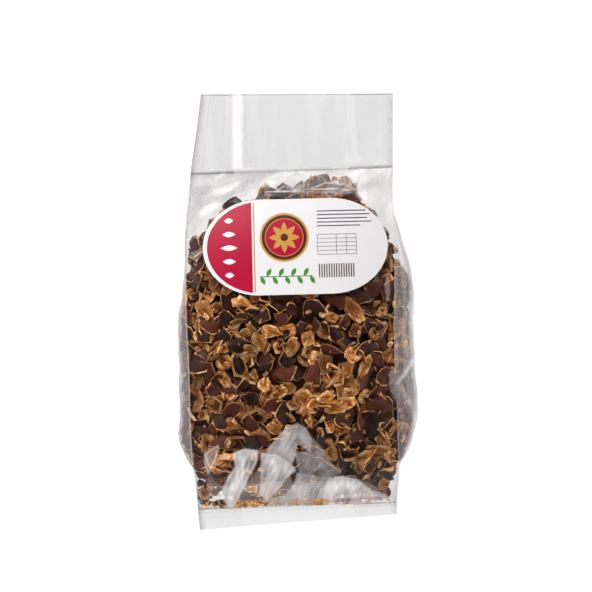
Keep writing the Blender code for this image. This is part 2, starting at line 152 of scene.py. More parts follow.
# Corners of the patches in which creased film is hazy and carries painted reflections of
# the softboxes, and how strong they are. A patch whose edge is a crease has a pale line along
# it, a painted highlight.
Patch = namedtuple("Patch", "milk crease corners")
PATCHES = (
    Patch(0.6, 0.35, (
        (-45.2, -97.6), (-37.0, -95.6), (-29.2, -97.0), (-30.2, -103.6), (-37.2, -120.7),
        (-46.2, -135.7), (-49.0, -136.2), (-56.3, -126.7), (-49.3, -117.6), (-44.2, -107.6),
    )),
    Patch(0.6, 0.25, (
        (-26.2, -98.6), (-15.1, -98.6), (-5.1, -106.6), (-2.0, -110.6), (-9.1, -116.6),
        (-17.1, -125.7), (-23.1, -131.7), (-27.2, -126.7), (-26.2, -112.6),
    )),
    Patch(0.38, 0.15, (
        (-23.1, -99.6), (-19.1, -92.5), (-9.1, -81.5), (-1.0, -77.5), (5.0, -80.5), (9.0, -87.5),
        (8.0, -96.5), (-1.0, -90.5), (-2.0, -98.6), (-5.1, -105.6), (-15.0, -99.2),
    )),
    Patch(0.24, 0.1, (
        (-2.0, -98.6), (8.0, -96.5), (9.0, -87.5), (14.0, -93.0), (29.1, -112.6), (17.0, -116.6),
        (1.0, -112.6),
    )),
    Patch(0.46, 0.15, (
        (-1.0, -112.6), (17.0, -116.6), (31.1, -115.6), (41.1, -117.6), (50.2, -126.7),
        (61.2, -130.7), (66.2, -136.7), (-17.1, -136.7), (-23.1, -131.7), (-9.1, -128.7),
        (-2.0, -118.6),
    )),
    Patch(0.6, 0.2, (
        (20.0, -123.0), (23.0, -118.4), (30.0, -116.0), (38.0, -116.6), (44.0, -120.0),
        (46.0, -125.0), (43.0, -131.0), (24.0, -131.6),
    )),
    Patch(0.24, 0.3, (
        (-64.3, -98.6), (-55.3, -93.5), (-56.3, -99.6), (-60.3, -105.6), (-63.3, -112.6),
        (-64.8, -105.6),
    )),
    Patch(0.7, 0.1, (
        (22.5, 98.5), (67.0, 98.5), (66.5, 73.2), (67.0, 52.0), (60.0, 58.0), (53.0, 67.0),
        (43.0, 78.5), (39.0, 89.0), (35.6, 94.3),
    )),
    Patch(0.5, 0.2, (
        (-77.0, 89.3), (-58.8, 89.3), (-49.8, 91.3), (-34.7, 97.3), (-23.6, 98.5), (-22.6, 94.3),
        (-12.6, 89.3), (-23.6, 88.2), (-34.7, 86.2), (-43.7, 83.7), (-55.8, 75.2), (-62.8, 70.2),
        (-67.8, 62.1), (-68.8, 52.0), (-79.5, 52.0), (-78.0, 78.2),
    )),
    Patch(0.22, 0.0, ((-76.0, 94.3), (-59.8, 98.5), (-58.8, 90.2), (-77.0, 89.3))),
    Patch(0.34, 0.12, ((-21.0, 98.5), (-6.0, 98.5), (-8.6, 91.5), (-12.0, 95.8), (-18.0, 93.0))),
    Patch(0.3, 0.0, ((32.0, 110.3), (65.7, 103.3), (66.5, 101.6), (32.0, 101.6))),
    Patch(0.2, 0.1, (
        (-24.0, 81.0), (-22.0, 90.0), (-6.0, 91.0), (8.0, 97.0), (37.0, 97.0), (44.0, 82.0),
        (10.0, 80.0),
    )),
)
# Thin lines in the film: how hazy, how grey, how wide and along which (x, y). The pale ones
# are painted highlights and glints along folds; the grey line over the top of the filling is a
# painted shadow gap, and the three grey lines up the header mark its folds. The last two are
# on the right gusset.
Crease = namedtuple("Crease", "milk grey width path")
CREASES = (
    Crease(0.26, 1.0, 0.9, ((34.1, 153.0), (33.4, 126.0), (32.2, 101.5))),
    Crease(0.18, 1.0, 0.9, ((-33.7, 153.0), (-35.0, 128.0), (-36.8, 101.5))),
    Crease(0.14, 1.0, 0.9, ((-62.4, 153.0), (-65.0, 128.0), (-68.0, 101.5))),
    Crease(0.55, 1.0, 0.8, ((-22.0, 82.4), (-6.0, 82.8), (12.0, 83.2), (35.0, 82.6))),
    Crease(0.45, 0.0, 0.8, ((-23.0, 84.0), (0.0, 84.6), (22.0, 85.4), (36.0, 84.2))),
    Crease(0.4, 0.0, 0.8, ((9.0, 86.0), (20.0, 90.0), (33.0, 88.0), (40.0, 84.0))),
    Crease(0.3, 0.0, 0.8, ((-16.0, 84.0), (-10.0, 88.5), (-2.0, 85.0))),
    Crease(0.4, 0.0, 2.0, ((68.4, -50.0), (73.4, -44.0), (80.4, -34.0))),
    Crease(0.2, 0.0, 2.4, ((69.5, -51.0), (74.0, -58.0), (79.0, -66.0), (82.0, -78.0))),
)
# What marks the film along its length: (y, dark, hazy). The dark stops are the weld lines,
# and the hazy ones next to them are painted highlight lines.
MARKS = (
    (-140.2, 0, 0), (-139.6, 0.16, 0), (-139.0, 0, 0.1), (-137.4, 0, 0.2), (-136.9, 0.3, 0),
    (-136.3, 0, 0.1), (-135.0, 0, 0), (94.0, 0, 0), (96.4, 0, 0.1), (98.3, 0, 0.3),
    (98.8, 0, 0.1), (99.2, 0.35, 0), (99.7, 0.05, 0), (100.4, 0.1, 0), (100.8, 0.42, 0),
    (101.4, 0, 0), (152.6, 0, 0), (152.9, 0.25, 0), (153.5, 0.3, 0),
)

# The heap of pod pieces. HEAP_TOP is its upper outline across the bag, as (x, y).
HEAP_FOOT = -133.5
HEAP_TOP = (
    (-80.0, 50.0), (-74.0, 58.0), (-62.0, 70.0), (-55.0, 77.0), (-44.0, 79.0), (-30.0, 82.0),
    (-22.0, 89.0), (-6.0, 89.5), (2.0, 88.0), (10.0, 96.0), (37.0, 96.0), (45.0, 83.0),
    (58.0, 72.0), (70.0, 57.0),
)
HEAP_SHEAR_START, HEAP_SHEAR_POWER = 0.55, 1.5
HEAP_ROUND_START, HEAP_END_BLUNT = 0.86, 0.25
HEAP_SQUARENESS = 4.4
HEAP_CLEAR = 1.0
HEAP_ALONG = (0.004, 0.998)
CORE_DEPTH, CORE_SIDES, CORE_RINGS = 9.0, 64, 48

# The label is a straight middle with a half ellipse at each end. COVER_REACH is how far out
# it still holds the film flat, as a share of its own reach.
LABEL_X, LABEL_Y, LABEL_TURN_DEG = -2.2, 45.3, 1.45
LABEL_STRAIGHT, LABEL_END, LABEL_HALF_HEIGHT = 25.0, 39.4, 33.4
LABEL_LIFT, LABEL_THICK, LABEL_RINGS = 0.35, 0.14, 22
INK_LIFT, INK_STEP = 0.06, 0.04
COVER_REACH = 1.12

# Sizes of the patterns in the materials, in millimetres.
FILM_RIPPLE, FILM_RIPPLE_DEPTH = 18.18, 0.8
BLOOM_PATCH, FLESH_GRIT, FLESH_RELIEF = 5.263, 1.923, 1.2
FIBRE_LENGTH, FIBRE_WIDTH = 6.25, 1.818
# The mottle of the dark core that paints the shade between the pieces.
DUST_AND_SHADE_GRIT = 2.5
PAPER_DIP, PAPER_DIP_DEPTH = 14.286, 0.8

# The studio, in metres and watts. SEEN_WIDTH is what the camera takes in at BAG_MIDDLE.
Softbox = namedtuple("Softbox", "name place size power glossy")
SOFTBOXES = (
    Softbox("softbox_key", (-0.6, 1.1, 1.1), (0.8, 0.8), 24.5, False),
    Softbox("softbox_left", (-0.7, 1.2, 0.9), (1.3, 1.2), 9, True),
    Softbox("softbox_right", (1.4, 0.4, 0.75), (1.3, 1.0), 7, True),
    Softbox("softbox_foot", (-0.05, -1.3, 0.95), (0.7, 0.6), 15, False),
    Softbox("softbox_side", (-1.4, -0.3, 0.7), (0.8, 0.6), 6, False),
)
FLOOR_SIZE, FLOOR_DROP, BAG_MIDDLE = 8, 0.0008, 0.02
CAMERA_X, CAMERA_Y, SEEN_WIDTH, SENSOR_MM = -0.0017, 0.0109, 0.4144, 36


def linear(code):
    """A linear colour from an sRGB hex code such as "#a0522d"."""
    channels = [int(code[i : i + 2], 16) / 255 for i in (1, 3, 5)]
    return tuple(c / 12.92 if c <= 0.04045 else ((c + 0.055) / 1.055) ** 2.4 for c in channels)


def colour_property(name, description, code):
    return bpy.props.FloatVectorProperty(
        name=name, description=description, subtype="COLOR", size=3, min=0, max=1,
        default=linear(code),
    )


class FilmSettings(bpy.types.PropertyGroup):
    """What a user would change on the film."""

    facet_depth: bpy.props.FloatProperty(
        name="Facet depth", description="How deep the film sinks between the pieces it is taut over",
        default=0.0006, unit="LENGTH",
    )
    facet_size: bpy.props.FloatProperty(
        name="Facet size", description="Distance between the high points of the taut film",
        default=0.012, unit="LENGTH",
    )
    pleat_depth: bpy.props.FloatProperty(
        name="Pleat depth", description="Height of the pleats that run into the two welds",
        default=0.0022, unit="LENGTH",
    )
    tint: colour_property("Film tint", "What one layer lets through", "#f4f4f4")


class PodSettings(bpy.types.PropertyGroup):
    """What a user would change on the filling."""

    spacing: bpy.props.FloatProperty(
        name="Spacing", description="Least distance between two outer pieces",
        default=0.0092, unit="LENGTH",
    )
    ragged: bpy.props.FloatProperty(
        name="Ragged edge", description="How far broken edges are torn out of line",
        default=0.0014, unit="LENGTH",
    )
    seed: bpy.props.IntProperty(name="Seed", description="Seed of the scatter", default=17)
    skin_dark: colour_property("Dark skin", "Chocolate brown pod skin", "#2a140c")
    skin_red: colour_property("Red skin", "Burgundy brown pod skin", "#4b2014")
    skin_bloom: colour_property("Skin bloom", "Greyish bloom on the pod skin", "#66473f")
    # Also painted shade: this colour darkens seed chambers and the undersides of pieces.
    chamber_and_shade: colour_property("Chamber", "Smooth wall of a seed chamber", "#4c2812")
    flesh_dark: colour_property("Dark flesh", "Fibre and shade in the flesh", "#62320f")
    flesh_mid: colour_property("Flesh", "Ochre pod flesh", "#be7733")
    flesh_light: colour_property("Light flesh", "Dry broken edges", "#f6d19c")


class LabelSettings(bpy.types.PropertyGroup):
    """What a user would change on the label."""

    paper: colour_property("Paper", "Coated white paper", "#d6d3d4")
    crimson: colour_property("Crimson", "Ink of the end panel", "#a3052f")
    gold: colour_property("Gold", "Ink of the rings", "#b98a3e")
    cocoa: colour_property("Cocoa", "Ink of the roundel", "#4a2218")
    leaf: colour_property("Leaf", "Ink of the leaves", "#3f7f2e")
    grey: colour_property("Grey", "Ink of the rules", "#4f4b53")


class StudioSettings(bpy.types.PropertyGroup):
    """What a user would change in the studio."""

    camera_height: bpy.props.FloatProperty(
        name="Camera height", description="Height of the camera over the floor",
        default=2.0, unit="LENGTH",
    )
    floor: colour_property("Floor", "Pale studio floor", "#6c6c6c")


def column_slopes(ys, values):
    """Slopes of a cubic through the points that never overshoots them."""
    steps = np.diff(ys)
    rises = np.diff(values) / steps
    slopes = np.empty(len(ys))
    slopes[0], slopes[-1] = rises[0], rises[-1]
    for i in range(1, len(ys) - 1):
        before, after = rises[i - 1], rises[i]
        slopes[i] = 0.0 if before * after <= 0 else 2 * before * after / (before + after)
    return slopes


class Profile:
    """The station columns as smooth functions of y."""

    def __init__(self, rows):
        self.ys = np.array([row.y for row in rows])
        self.values = np.array([row[1:] for row in rows])
        columns = [column_slopes(self.ys, column) for column in self.values.T]
        self.slopes = np.array(columns).T

    def at(self, y):
        y = min(max(y, self.ys[0]), self.ys[-1])
        i = min(int(np.searchsorted(self.ys, y, side="right")) - 1, len(self.ys) - 2)
        step = self.ys[i + 1] - self.ys[i]
        t = (y - self.ys[i]) / step
        found = (
            self.values[i] * (1 + 2 * t) * (1 - t) ** 2
            + self.slopes[i] * step * t * (1 - t) ** 2
            + self.values[i + 1] * t * t * (3 - 2 * t)
            + self.slopes[i + 1] * step * t * t * (t - 1)
        )
        return Station(y, *found.tolist())


PROFILE = Profile(STATIONS)


def front_height(row, x):
    """Height of the smooth front panel at x on a station."""
    half = (row.right - row.left) / 2
    u = min(1.0, abs(x - (row.left + row.right) / 2) / half)
    return row.crease + (row.front - row.crease) * (1 - u**FRONT_BOW_POWER)


def smooth(low, high, value):
    """A smooth step from 0 at low to 1 at high."""
    t = min(max((value - low) / (high - low), 0.0), 1.0)
    return t * t * (3 - 2 * t)


def label_reach(flat):
    """0 in the label's middle and 1 on its edge."""
    beyond = max(abs(flat.x) - LABEL_STRAIGHT, 0.0)
    return math.hypot(beyond / LABEL_END, flat.y / LABEL_HALF_HEIGHT)


def label_cover(x, y):
    """1 where the label lies on the film, falling to 0 about 4 mm outside it."""
    spot = Matrix.Rotation(-math.radians(LABEL_TURN_DEG), 2) @ Vector((x - LABEL_X, y - LABEL_Y))
    return 1 - smooth(1.0, COVER_REACH, label_reach(spot))


def crumple_room(x, y):
    """How far the film may stand off at (x, y), as a share of the facet depth."""
    if y > HEAD_WELD_Y or y < FOOT_WELD_Y:
        return ROOM_PAST_WELDS
    ends = max(smooth(-92, -108, y), smooth(66, 80, y))
    return (1 + ROOM_AT_ENDS * ends) * (1 - label_cover(x, y))


def crumple_tree(film):
    """Flat facets between seeded high and low points and the named folds, as a height field."""
    draw = random.Random(CRUMPLE_SEED)
    spots, heights, edges = [], [], []
    for fold in FOLDS:
        for i, (x, y, height) in enumerate(fold):
            if i:
                edges.append((len(spots) - 1, len(spots)))
            spots.append(Vector((x, y)))
            heights.append(height)
    spacing = film.facet_size / MM
    for _ in range(CRUMPLE_TRIES):
        spot = Vector((draw.uniform(*CRUMPLE_X), draw.uniform(*CRUMPLE_Y)))
        if all((spot - other).length > spacing for other in spots):
            spots.append(spot)
            depth = film.facet_depth / MM * crumple_room(*spot)
            heights.append(draw.uniform(-depth, depth))
    flat, _, faces, origins, _, _ = delaunay_2d_cdt(spots, edges, [], 0, 1e-6)
    points = [Vector((p.x, p.y, heights[o[0]] if o else 0.0)) for p, o in zip(flat, origins)]
    return BVHTree.FromPolygons(points, faces)


def front_relief(x, y, film, crumple):
    """How far the creased front panel stands off the smooth one, in millimetres."""
    bare = 1 - label_cover(x, y)
    foot = smooth(-100, -126, y) * smooth(-139, -134, y)
    head = smooth(70, 88, y) * smooth(100, 95, y)
    lean = PLEAT_LEAN * noise.noise(Vector((x / 60, y / 40, 1.3)))
    along = Vector(((x + lean) / PLEAT_WIDTH, y / PLEAT_RUN, 5.5))
    pleat = 1 - 2 * abs(noise.noise(along))
    relief = (pleat - PLEAT_SUNK) * film.pleat_depth / MM * max(foot, head)
    hit, _, _, _ = crumple.ray_cast(Vector((x, y, RAY_START)), Vector((0, 0, -1)))
    if hit:
        relief += hit.z * bare
    relief += SWELL * noise.noise(Vector((x / 30, y / 40, 9.1))) * bare * smooth(105, 90, y)
    ridge = math.exp(-(((x - RIDGE_X + RIDGE_SLANT * (y - RIDGE_Y)) / RIDGE_WIDTH) ** 2))
    relief += RIDGE * ridge * smooth(101, 108, y) * smooth(150, 138, y)
    for weld_y in (FOOT_WELD_Y, HEAD_WELD_Y):
        for offset in (-BEAD_OFFSET, BEAD_OFFSET):
            relief += BEAD * math.exp(-(((y - weld_y - offset) / BEAD_WIDTH) ** 2))
    return relief


def side_relief(y, z, film, side):
    """How far a creased gusset stands off the smooth one, outwards, in millimetres."""
    fold = noise.noise(Vector((side * 40 + z / 9, y / 34, 8.2)))
    crease = abs(noise.noise(Vector((side * 20 + z / 14 + y / 50, y / 26, 2.9))))
    full = smooth(92, 66, y) * smooth(-134, -108, y)
    return (GUSSET_SWELL * fold - GUSSET_CREASE * crease) * full * film.facet_depth / MM


def section(y, film, crumple):
    """The outline of the creased film at y, as (x, y, z), from the front's left crease."""
    row = PROFILE.at(y)
    depth = row.crease - row.back
    lip = min(LIP_SHARE * depth, LIP_MOST)
    fold = min(FOLD_SHARE * depth, FOLD_MOST)
    middle = (row.crease + row.back) / 2
    points = []
    for i in range(FRONT_STEPS + 1):
        x = row.left + (row.right - row.left) * i / FRONT_STEPS
        from_edge = min(x - row.left, row.right - x)
        held = smooth(0, HELD_WIDTH, from_edge)
        height = front_height(row, x) + held * front_relief(x, y, film, crumple)
        points.append((x, height))
    right = gusset_half(row.right, row.out_right, row.crease - lip, middle + fold, y, film, 1)
    right += reversed(
        gusset_half(row.right, row.out_right, row.back + lip, middle - fold, y, film, 1)
    )
    left = gusset_half(row.left, -row.out_left, row.back + lip, middle - fold, y, film, -1)
    left += reversed(
        gusset_half(row.left, -row.out_left, row.crease - lip, middle + fold, y, film, -1)
    )
    back = []
    for i in range(BACK_STEPS + 1):
        back.append((row.right + (row.left - row.right) * i / BACK_STEPS, row.back))
    return [Vector((x, y + row.slant * x, z)) * MM for x, z in points + right + back + left]


def gusset_half(crease_x, out, start_z, fold_z, y, film, side):
    """Points of one half of a gusset, from the panel's crease to the middle fold."""
    points = []
    for i in range(GUSSET_STEPS + 1):
        turn = i / GUSSET_STEPS * math.pi / 2
        z = start_z + (fold_z - start_z) * (1 - math.cos(turn))
        x = crease_x + out * math.sin(turn)
        points.append((x + side * math.sin(turn) * side_relief(y, z, film, side), z))
    return points


def inside(spot, corners):
    """True if the spot is inside the polygon."""
    odd = False
    for (ax, ay), (bx, by) in zip(corners, corners[1:] + corners[:1]):
        if (ay > spot[1]) != (by > spot[1]):
            if spot[0] < ax + (spot[1] - ay) * (bx - ax) / (by - ay):
                odd = not odd
    return odd


def in_gusset(index):
    """True for a section's points on the two gussets."""
    front = FRONT_STEPS + 1
    gusset = 2 * GUSSET_STEPS + 2
    return front <= index < front + gusset or index >= front + gusset + BACK_STEPS + 1


def path_distance(spot, path):
    """How far the spot is from the path."""
    nearest = math.inf
    for a, b in zip(path, path[1:]):
        line = Vector(b) - Vector(a)
        share = min(max((spot - Vector(a)).dot(line) / line.length_squared, 0.0), 1.0)
        nearest = min(nearest, (spot - Vector(a) - line * share).length)
    return nearest


def panel_haze_and_glare(x, y):
    """How hazy the front panel is at (x, y), with its header's streaks, its stripe of painted
    reflection and its patches, which hold painted reflections with painted highlights along
    their creases.
    """
    place = Vector((x, y, 0)) / PATCH_WANDER_SIZE
    spot = Vector((x, y)) + noise.noise_vector(place).xy * PATCH_WANDER
    header = smooth(100, 103, y)
    streak = max(0.0, noise.noise(Vector((x / 6, y / 70, 2.2))))
    # A painted reflection of the left softbox: a bright stripe up the header's left side.
    reflection_band = smooth(-48.0, -44.5, x) * smooth(-38.6, -39.8, x)
    sides = 1 - smooth(-46.0, -40.0, x) * smooth(36.0, 32.0, x)
    milk = header * (HEADER_STREAKS * streak + HEADER_REFLECTION_BAND * reflection_band + HEADER_SIDES * sides)
    cloud = 0.9 + 0.7 * noise.noise(Vector((x / 9, y / 14, 7.7)))
    cloud += 0.55 * noise.noise(Vector(((x - y / 3) / 2.2, (y + x / 3) / 7, 3.1)))
    for patch in PATCHES:
        edge = path_distance(spot, (*patch.corners, patch.corners[0]))
        depth = edge if inside(spot, patch.corners) else -edge
        fill = 0.65 * smooth(-PATCH_SOFT, PATCH_SOFT, depth)
        fill += 0.35 * smooth(0, PATCH_FADE, depth)
        milk = max(milk, patch.milk * cloud * fill)
        # A pale line along the patch's crease, a painted highlight.
        milk += patch.crease * max(0.0, 1 - edge / CREASE_HALF)
    return milk


def haze_and_glare_at(index, x, row, tucked):
    """How hazy the film is at one point of a section, with its painted reflections, highlights
    and shade lines, and how grey that haziness is.

    tucked is 1 on a gusset where it lies between the panels.
    """
    y = row.y
    if in_gusset(index):
        # The gussets' veil is partly painted reflection, and the right one's outer rim a painted
        # highlight.
        if x > 0:
            reach = (x - row.right) / max(row.out_right, 1.0)
            milk = GUSSET_HAZE_AND_GLARE_RIGHT + GUSSET_RIM_HIGHLIGHT * smooth(0.6, 1.0, reach)
            grey = GUSSET_GREY_RIGHT
        else:
            milk, grey = GUSSET_HAZE_AND_GLARE_LEFT, GUSSET_GREY_LEFT
        milk *= 1 - tucked
        grey *= 1 - tucked
    elif index in (0, FRONT_STEPS):
        # The front panel's side creases get painted highlight lines.
        return (FOLD_HIGHLIGHT_RIGHT if index else FOLD_HIGHLIGHT_LEFT) * smooth(99, 90, y), 0.0
    elif index > FRONT_STEPS:
        return 0.0, 0.0
    else:
        milk = 0.0 if TAUT_FROM < y < TAUT_TO else panel_haze_and_glare(x, y)
        folds = 1 + SHOULDER_FOLDS * noise.noise(Vector((x / 16, (y - x / 2) / 8, 6.6)))
        shoulder = smooth(45, 55, y) * smooth(102, 100, y) * (0.35 + 0.65 * smooth(30, 0, x))
        grey = min(max(SHOULDER_GREY * folds * shoulder, 0.0), 1.0)
    # Pale crease lines are painted highlights; the grey one over the top of the filling is a painted
    # shadow gap.
    for crease in CREASES:
        near = max(0.0, 1 - path_distance(Vector((x, y)), crease.path) / crease.width)
        milk += crease.milk * near
        grey += (crease.grey - grey) * near
    return min(milk, HAZE_AND_GLARE_MOST), grey


def film_mesh(film):
    """The film as one sheet: a tube with a folded section, flat and open at both ends."""
    count = round((STATIONS[-1].y - STATIONS[0].y) / RING_STEP)
    ys = [STATIONS[0].y + (STATIONS[-1].y - STATIONS[0].y) * i / count for i in range(count + 1)]
    crumple = crumple_tree(film)
    rings = [section(y, film, crumple) for y in ys]
    around = len(rings[0])
    points = [point for ring in rings for point in ring]
    faces = []
    for lower in range(count):
        for i in range(around):
            k = (i + 1) % around
            a, b = lower * around + i, lower * around + k
            faces.append((a, b, b + around, a + around))
    mesh = bpy.data.meshes.new("film_sheet")
    mesh.from_pydata(points, [], faces)
    # Haziness, partly painted reflections and highlights, and greyness, which also paints a shadow
    # line, are kept on the film's points.
    fields = {"milk": [], "grey": [], "pressed": [], "run": []}
    for y, ring in zip(ys, rings):
        row = PROFILE.at(y)
        for i, point in enumerate(ring):
            x = point.x / MM
            tucked = in_gusset(i) * smooth(*TUCK_EDGE, min(x - row.left, row.right - x))
            milk, grey = haze_and_glare_at(i, x, row, tucked)
            fields["milk"].append(milk)
            fields["grey"].append(grey)
            fields["pressed"].append(max(SKIRT_PRESSED * smooth(-135, -138, y), tucked))
            fields["run"].append(y)
    for name, values in fields.items():
        mesh.attributes.new(name, "FLOAT", "POINT").data.foreach_set("value", values)
    mesh.update()
    return mesh


def add_node(tree, kind, inputs=None, **settings):
    """Adds a node with its settings, and sets or links the inputs that are named."""
    node = tree.nodes.new(kind)
    for name, value in settings.items():
        setattr(node, name, value)
    for name, value in (inputs or {}).items():
        if isinstance(value, bpy.types.NodeSocket):
            tree.links.new(value, node.inputs[name])
        else:
            node.inputs[name].default_value = value
    return node


def blank_material(name):
    """A material with an empty tree and its output node."""
    material = bpy.data.materials.new(name)
    material.use_nodes = True
    tree = material.node_tree
    tree.nodes.clear()
    return material, tree, add_node(tree, "ShaderNodeOutputMaterial")


def cast_polypropylene_film(film):
    """Clear cast polypropylene: hardly tinted, glossy on both faces, hazy where it is edge on,
    with painted reflections, highlights and shade lines from its attributes.
    """
    material, tree, output = blank_material("cast_polypropylene_film")
    place = add_node(tree, "ShaderNodeTexCoord").outputs["Object"]
    run = add_node(tree, "ShaderNodeAttribute", attribute_name="run").outputs["Fac"]
    low, high = STATIONS[0].y, STATIONS[-1].y
    run = add_node(
        tree, "ShaderNodeMapRange", {"Value": run, "From Min": low, "From Max": high}
    ).outputs["Result"]
    marks = add_node(tree, "ShaderNodeValToRGB", {"Fac": run})
    stops = marks.color_ramp.elements
    # Weld lines darken the film; the pale lines next to them are painted highlights.
    for y, dark, haze_and_glare_share in MARKS:
        stops.new((y - low) / (high - low)).color = (dark, haze_and_glare_share, 0, 1)
    stops[0].color = (0, 0, 0, 1)
    marks = add_node(tree, "ShaderNodeSeparateColor", {0: marks.outputs["Color"]}).outputs
    # How hazy the film is, painted reflections and highlight lines included.
    haze_and_glare_mask = add_node(tree, "ShaderNodeAttribute", attribute_name="milk").outputs["Fac"]
    ripple = add_node(
        tree, "ShaderNodeTexNoise",
        {"Vector": place, "Scale": 1 / (FILM_RIPPLE * MM), "Detail": 1.0},
    ).outputs["Fac"]
    bump = add_node(
        tree, "ShaderNodeBump",
        {"Height": ripple, "Distance": FILM_RIPPLE_DEPTH * MM, "Strength": 0.4},
    ).outputs["Normal"]
    facing = add_node(
        tree, "ShaderNodeLayerWeight", {"Blend": 0.5, "Normal": bump}
    ).outputs["Facing"]
    steep = add_node(tree, "ShaderNodeMath", {0: facing, 1: 5.0}, operation="POWER").outputs[0]
    mirror = add_node(
        tree, "ShaderNodeMath", {0: steep, 1: 0.92, 2: 0.075}, operation="MULTIPLY_ADD"
    ).outputs[0]
    pressed = add_node(tree, "ShaderNodeAttribute", attribute_name="pressed").outputs["Fac"]
    grey = add_node(tree, "ShaderNodeAttribute", attribute_name="grey").outputs["Fac"]
    parted = add_node(
        tree, "ShaderNodeMath", {0: pressed, 1: -0.85, 2: 1.0}, operation="MULTIPLY_ADD"
    ).outputs[0]
    parted = add_node(
        tree, "ShaderNodeMath", {0: grey, 1: -0.7, 2: parted}, operation="MULTIPLY_ADD"
    )
    parted.use_clamp = True
    parted = parted.outputs[0]
    mirror = add_node(tree, "ShaderNodeMath", {0: mirror, 1: parted}, operation="MULTIPLY")
    tint = add_node(
        tree, "ShaderNodeMix", {0: pressed, 6: (*film.tint, 1), 7: (0.99, 0.99, 0.99, 1)},
        data_type="RGBA",
    ).outputs[2]
    tint = add_node(
        tree, "ShaderNodeMix", {0: marks["Red"], 6: tint, 7: (0.2, 0.2, 0.2, 1)},
        data_type="RGBA",
    ).outputs[2]
    clear = add_node(tree, "ShaderNodeBsdfTransparent", {"Color": tint})
    gloss = add_node(
        tree, "ShaderNodeBsdfPrincipled",
        {"Base Color": (1, 1, 1, 1), "Metallic": 1.0, "Roughness": 0.07, "Normal": bump},
    )
    # The colour of the haziness, from white to grey; the grey also paints a shadow line.
    cloud = add_node(
        tree, "ShaderNodeMix",
        {0: grey, 6: (0.96, 0.91, 0.91, 1), 7: (0.32, 0.28, 0.29, 1)}, data_type="RGBA",
    ).outputs[2]
    milk = add_node(
        tree, "ShaderNodeBsdfPrincipled",
        {"Base Color": cloud, "Roughness": 0.5, "Normal": bump},
    )
    edge_on = add_node(
        tree, "ShaderNodeMath", {0: facing, 1: 3.0}, operation="POWER"
    ).outputs[0]
    haze_and_glare_share = add_node(
        tree, "ShaderNodeMath", {0: edge_on, 1: 0.4, 2: haze_and_glare_mask}, operation="MULTIPLY_ADD"
    ).outputs[0]
    haze_and_glare_share = add_node(tree, "ShaderNodeMath", {0: haze_and_glare_share, 1: marks["Green"]}, operation="ADD")
    haze_and_glare_share.use_clamp = True
    sheet = add_node(
        tree, "ShaderNodeMixShader",
        {0: haze_and_glare_share.outputs[0], 1: clear.outputs[0], 2: milk.outputs[0]},
    )
    mixed = add_node(
        tree, "ShaderNodeMixShader",
        {0: mirror.outputs[0], 1: sheet.outputs[0], 2: gloss.outputs[0]},
    )
    tree.links.new(mixed.outputs[0], output.inputs["Surface"])
    return material


def finished(name, mesh, material, nodes):
    """Puts a finished mesh in the scene, in place of the frame's nodes."""
    mesh.materials.clear()
    mesh.materials.append(material)
    piece = bpy.data.objects.new(name, mesh)
    bpy.context.scene.collection.objects.link(piece)
    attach(piece, BODY)
    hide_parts(*nodes)
    return piece


def heap_top(x):
    xs, ys = zip(*HEAP_TOP)
    return float(np.interp(x, xs, ys))


def signed_power(value, power):
    return math.copysign(abs(value) ** power, value)


def heap_point(along, turn, depth):
    """A point of the heap's surface, sunk by depth.

    along runs from 0 at the heap's foot to 1 at its top, and turn round the bag.
    """
    top = max(y for _, y in HEAP_TOP)
    y = HEAP_FOOT + depth + (top - HEAP_FOOT - 2 * depth) * along
    row = PROFILE.at(y)
    clear = HEAP_CLEAR + depth
    low = row.left - row.out_left + clear
    high = row.right + row.out_right - clear
    x = (low + high) / 2 + (high - low) / 2 * signed_power(math.cos(turn), 2 / HEAP_SQUARENESS)
    shear = max(0.0, (along - HEAP_SHEAR_START) / (1 - HEAP_SHEAR_START)) ** HEAP_SHEAR_POWER
    y += shear * (heap_top(x) - top)
    row = PROFILE.at(y)
    floor = row.back + clear
    roof = max(front_height(row, x) - clear, floor + 1.0)
    rounding = max(0.0, (along - HEAP_ROUND_START) / (1 - HEAP_ROUND_START))
    rise = signed_power(math.sin(turn), 2 / HEAP_SQUARENESS)
    round_end, straight_end = math.sqrt(max(0.0, 1 - rounding**2)), 1 - rounding
    rise *= round_end + HEAP_END_BLUNT * (straight_end - round_end)
    return Vector((x, y + row.slant * x, (floor + roof) / 2 + (roof - floor) / 2 * rise))


def heap_normal(along, turn, step=0.004):
    """The direction out of the heap, from its surface's slopes along the bag and round it."""
    across = heap_point(along, turn + step, 0) - heap_point(along, turn - step, 0)
    up = heap_point(min(along + step, 1), turn, 0) - heap_point(max(along - step, 0), turn, 0)
    return up.cross(across).normalized()


# A shard is a stack of rings from the middle of its upper face to the middle of its lower
# one. reach is a share of its outline and height a share of its thickness. skin, hollow and
# torn say how much of a ring is pod skin, seed chambers' wall and ragged edge. The share of
# seed chambers' wall also paints shade, darkening the undersides of pieces.
Ring = namedtuple("Ring", "reach height skin hollow torn")
Shard = namedtuple("Shard", "rings sectors corners length width thick bend twist")
WALL_RINGS = (
    Ring(0.0, 0.56, 1, 0, 0.25), Ring(0.58, 0.54, 1, 0, 0.3), Ring(0.89, 0.42, 1, 0, 0.4),
    Ring(1.0, 0.14, 0, 0, 1.0), Ring(0.8, -0.42, 0, 0.2, 0.6), Ring(0.0, -0.3, 0, 0.7, 0.2),
)
FLESH_RINGS = (
    Ring(0.0, 0.1, 0, 0.6, 0.2), Ring(0.42, 0.26, 0, 0.2, 0.4), Ring(0.84, 0.44, 0, 0, 0.8),
    Ring(1.0, 0.0, 0, 0, 1.0), Ring(0.86, -0.42, 1, 0, 0.4), Ring(0.0, -0.5, 1, 0, 0.1),
)
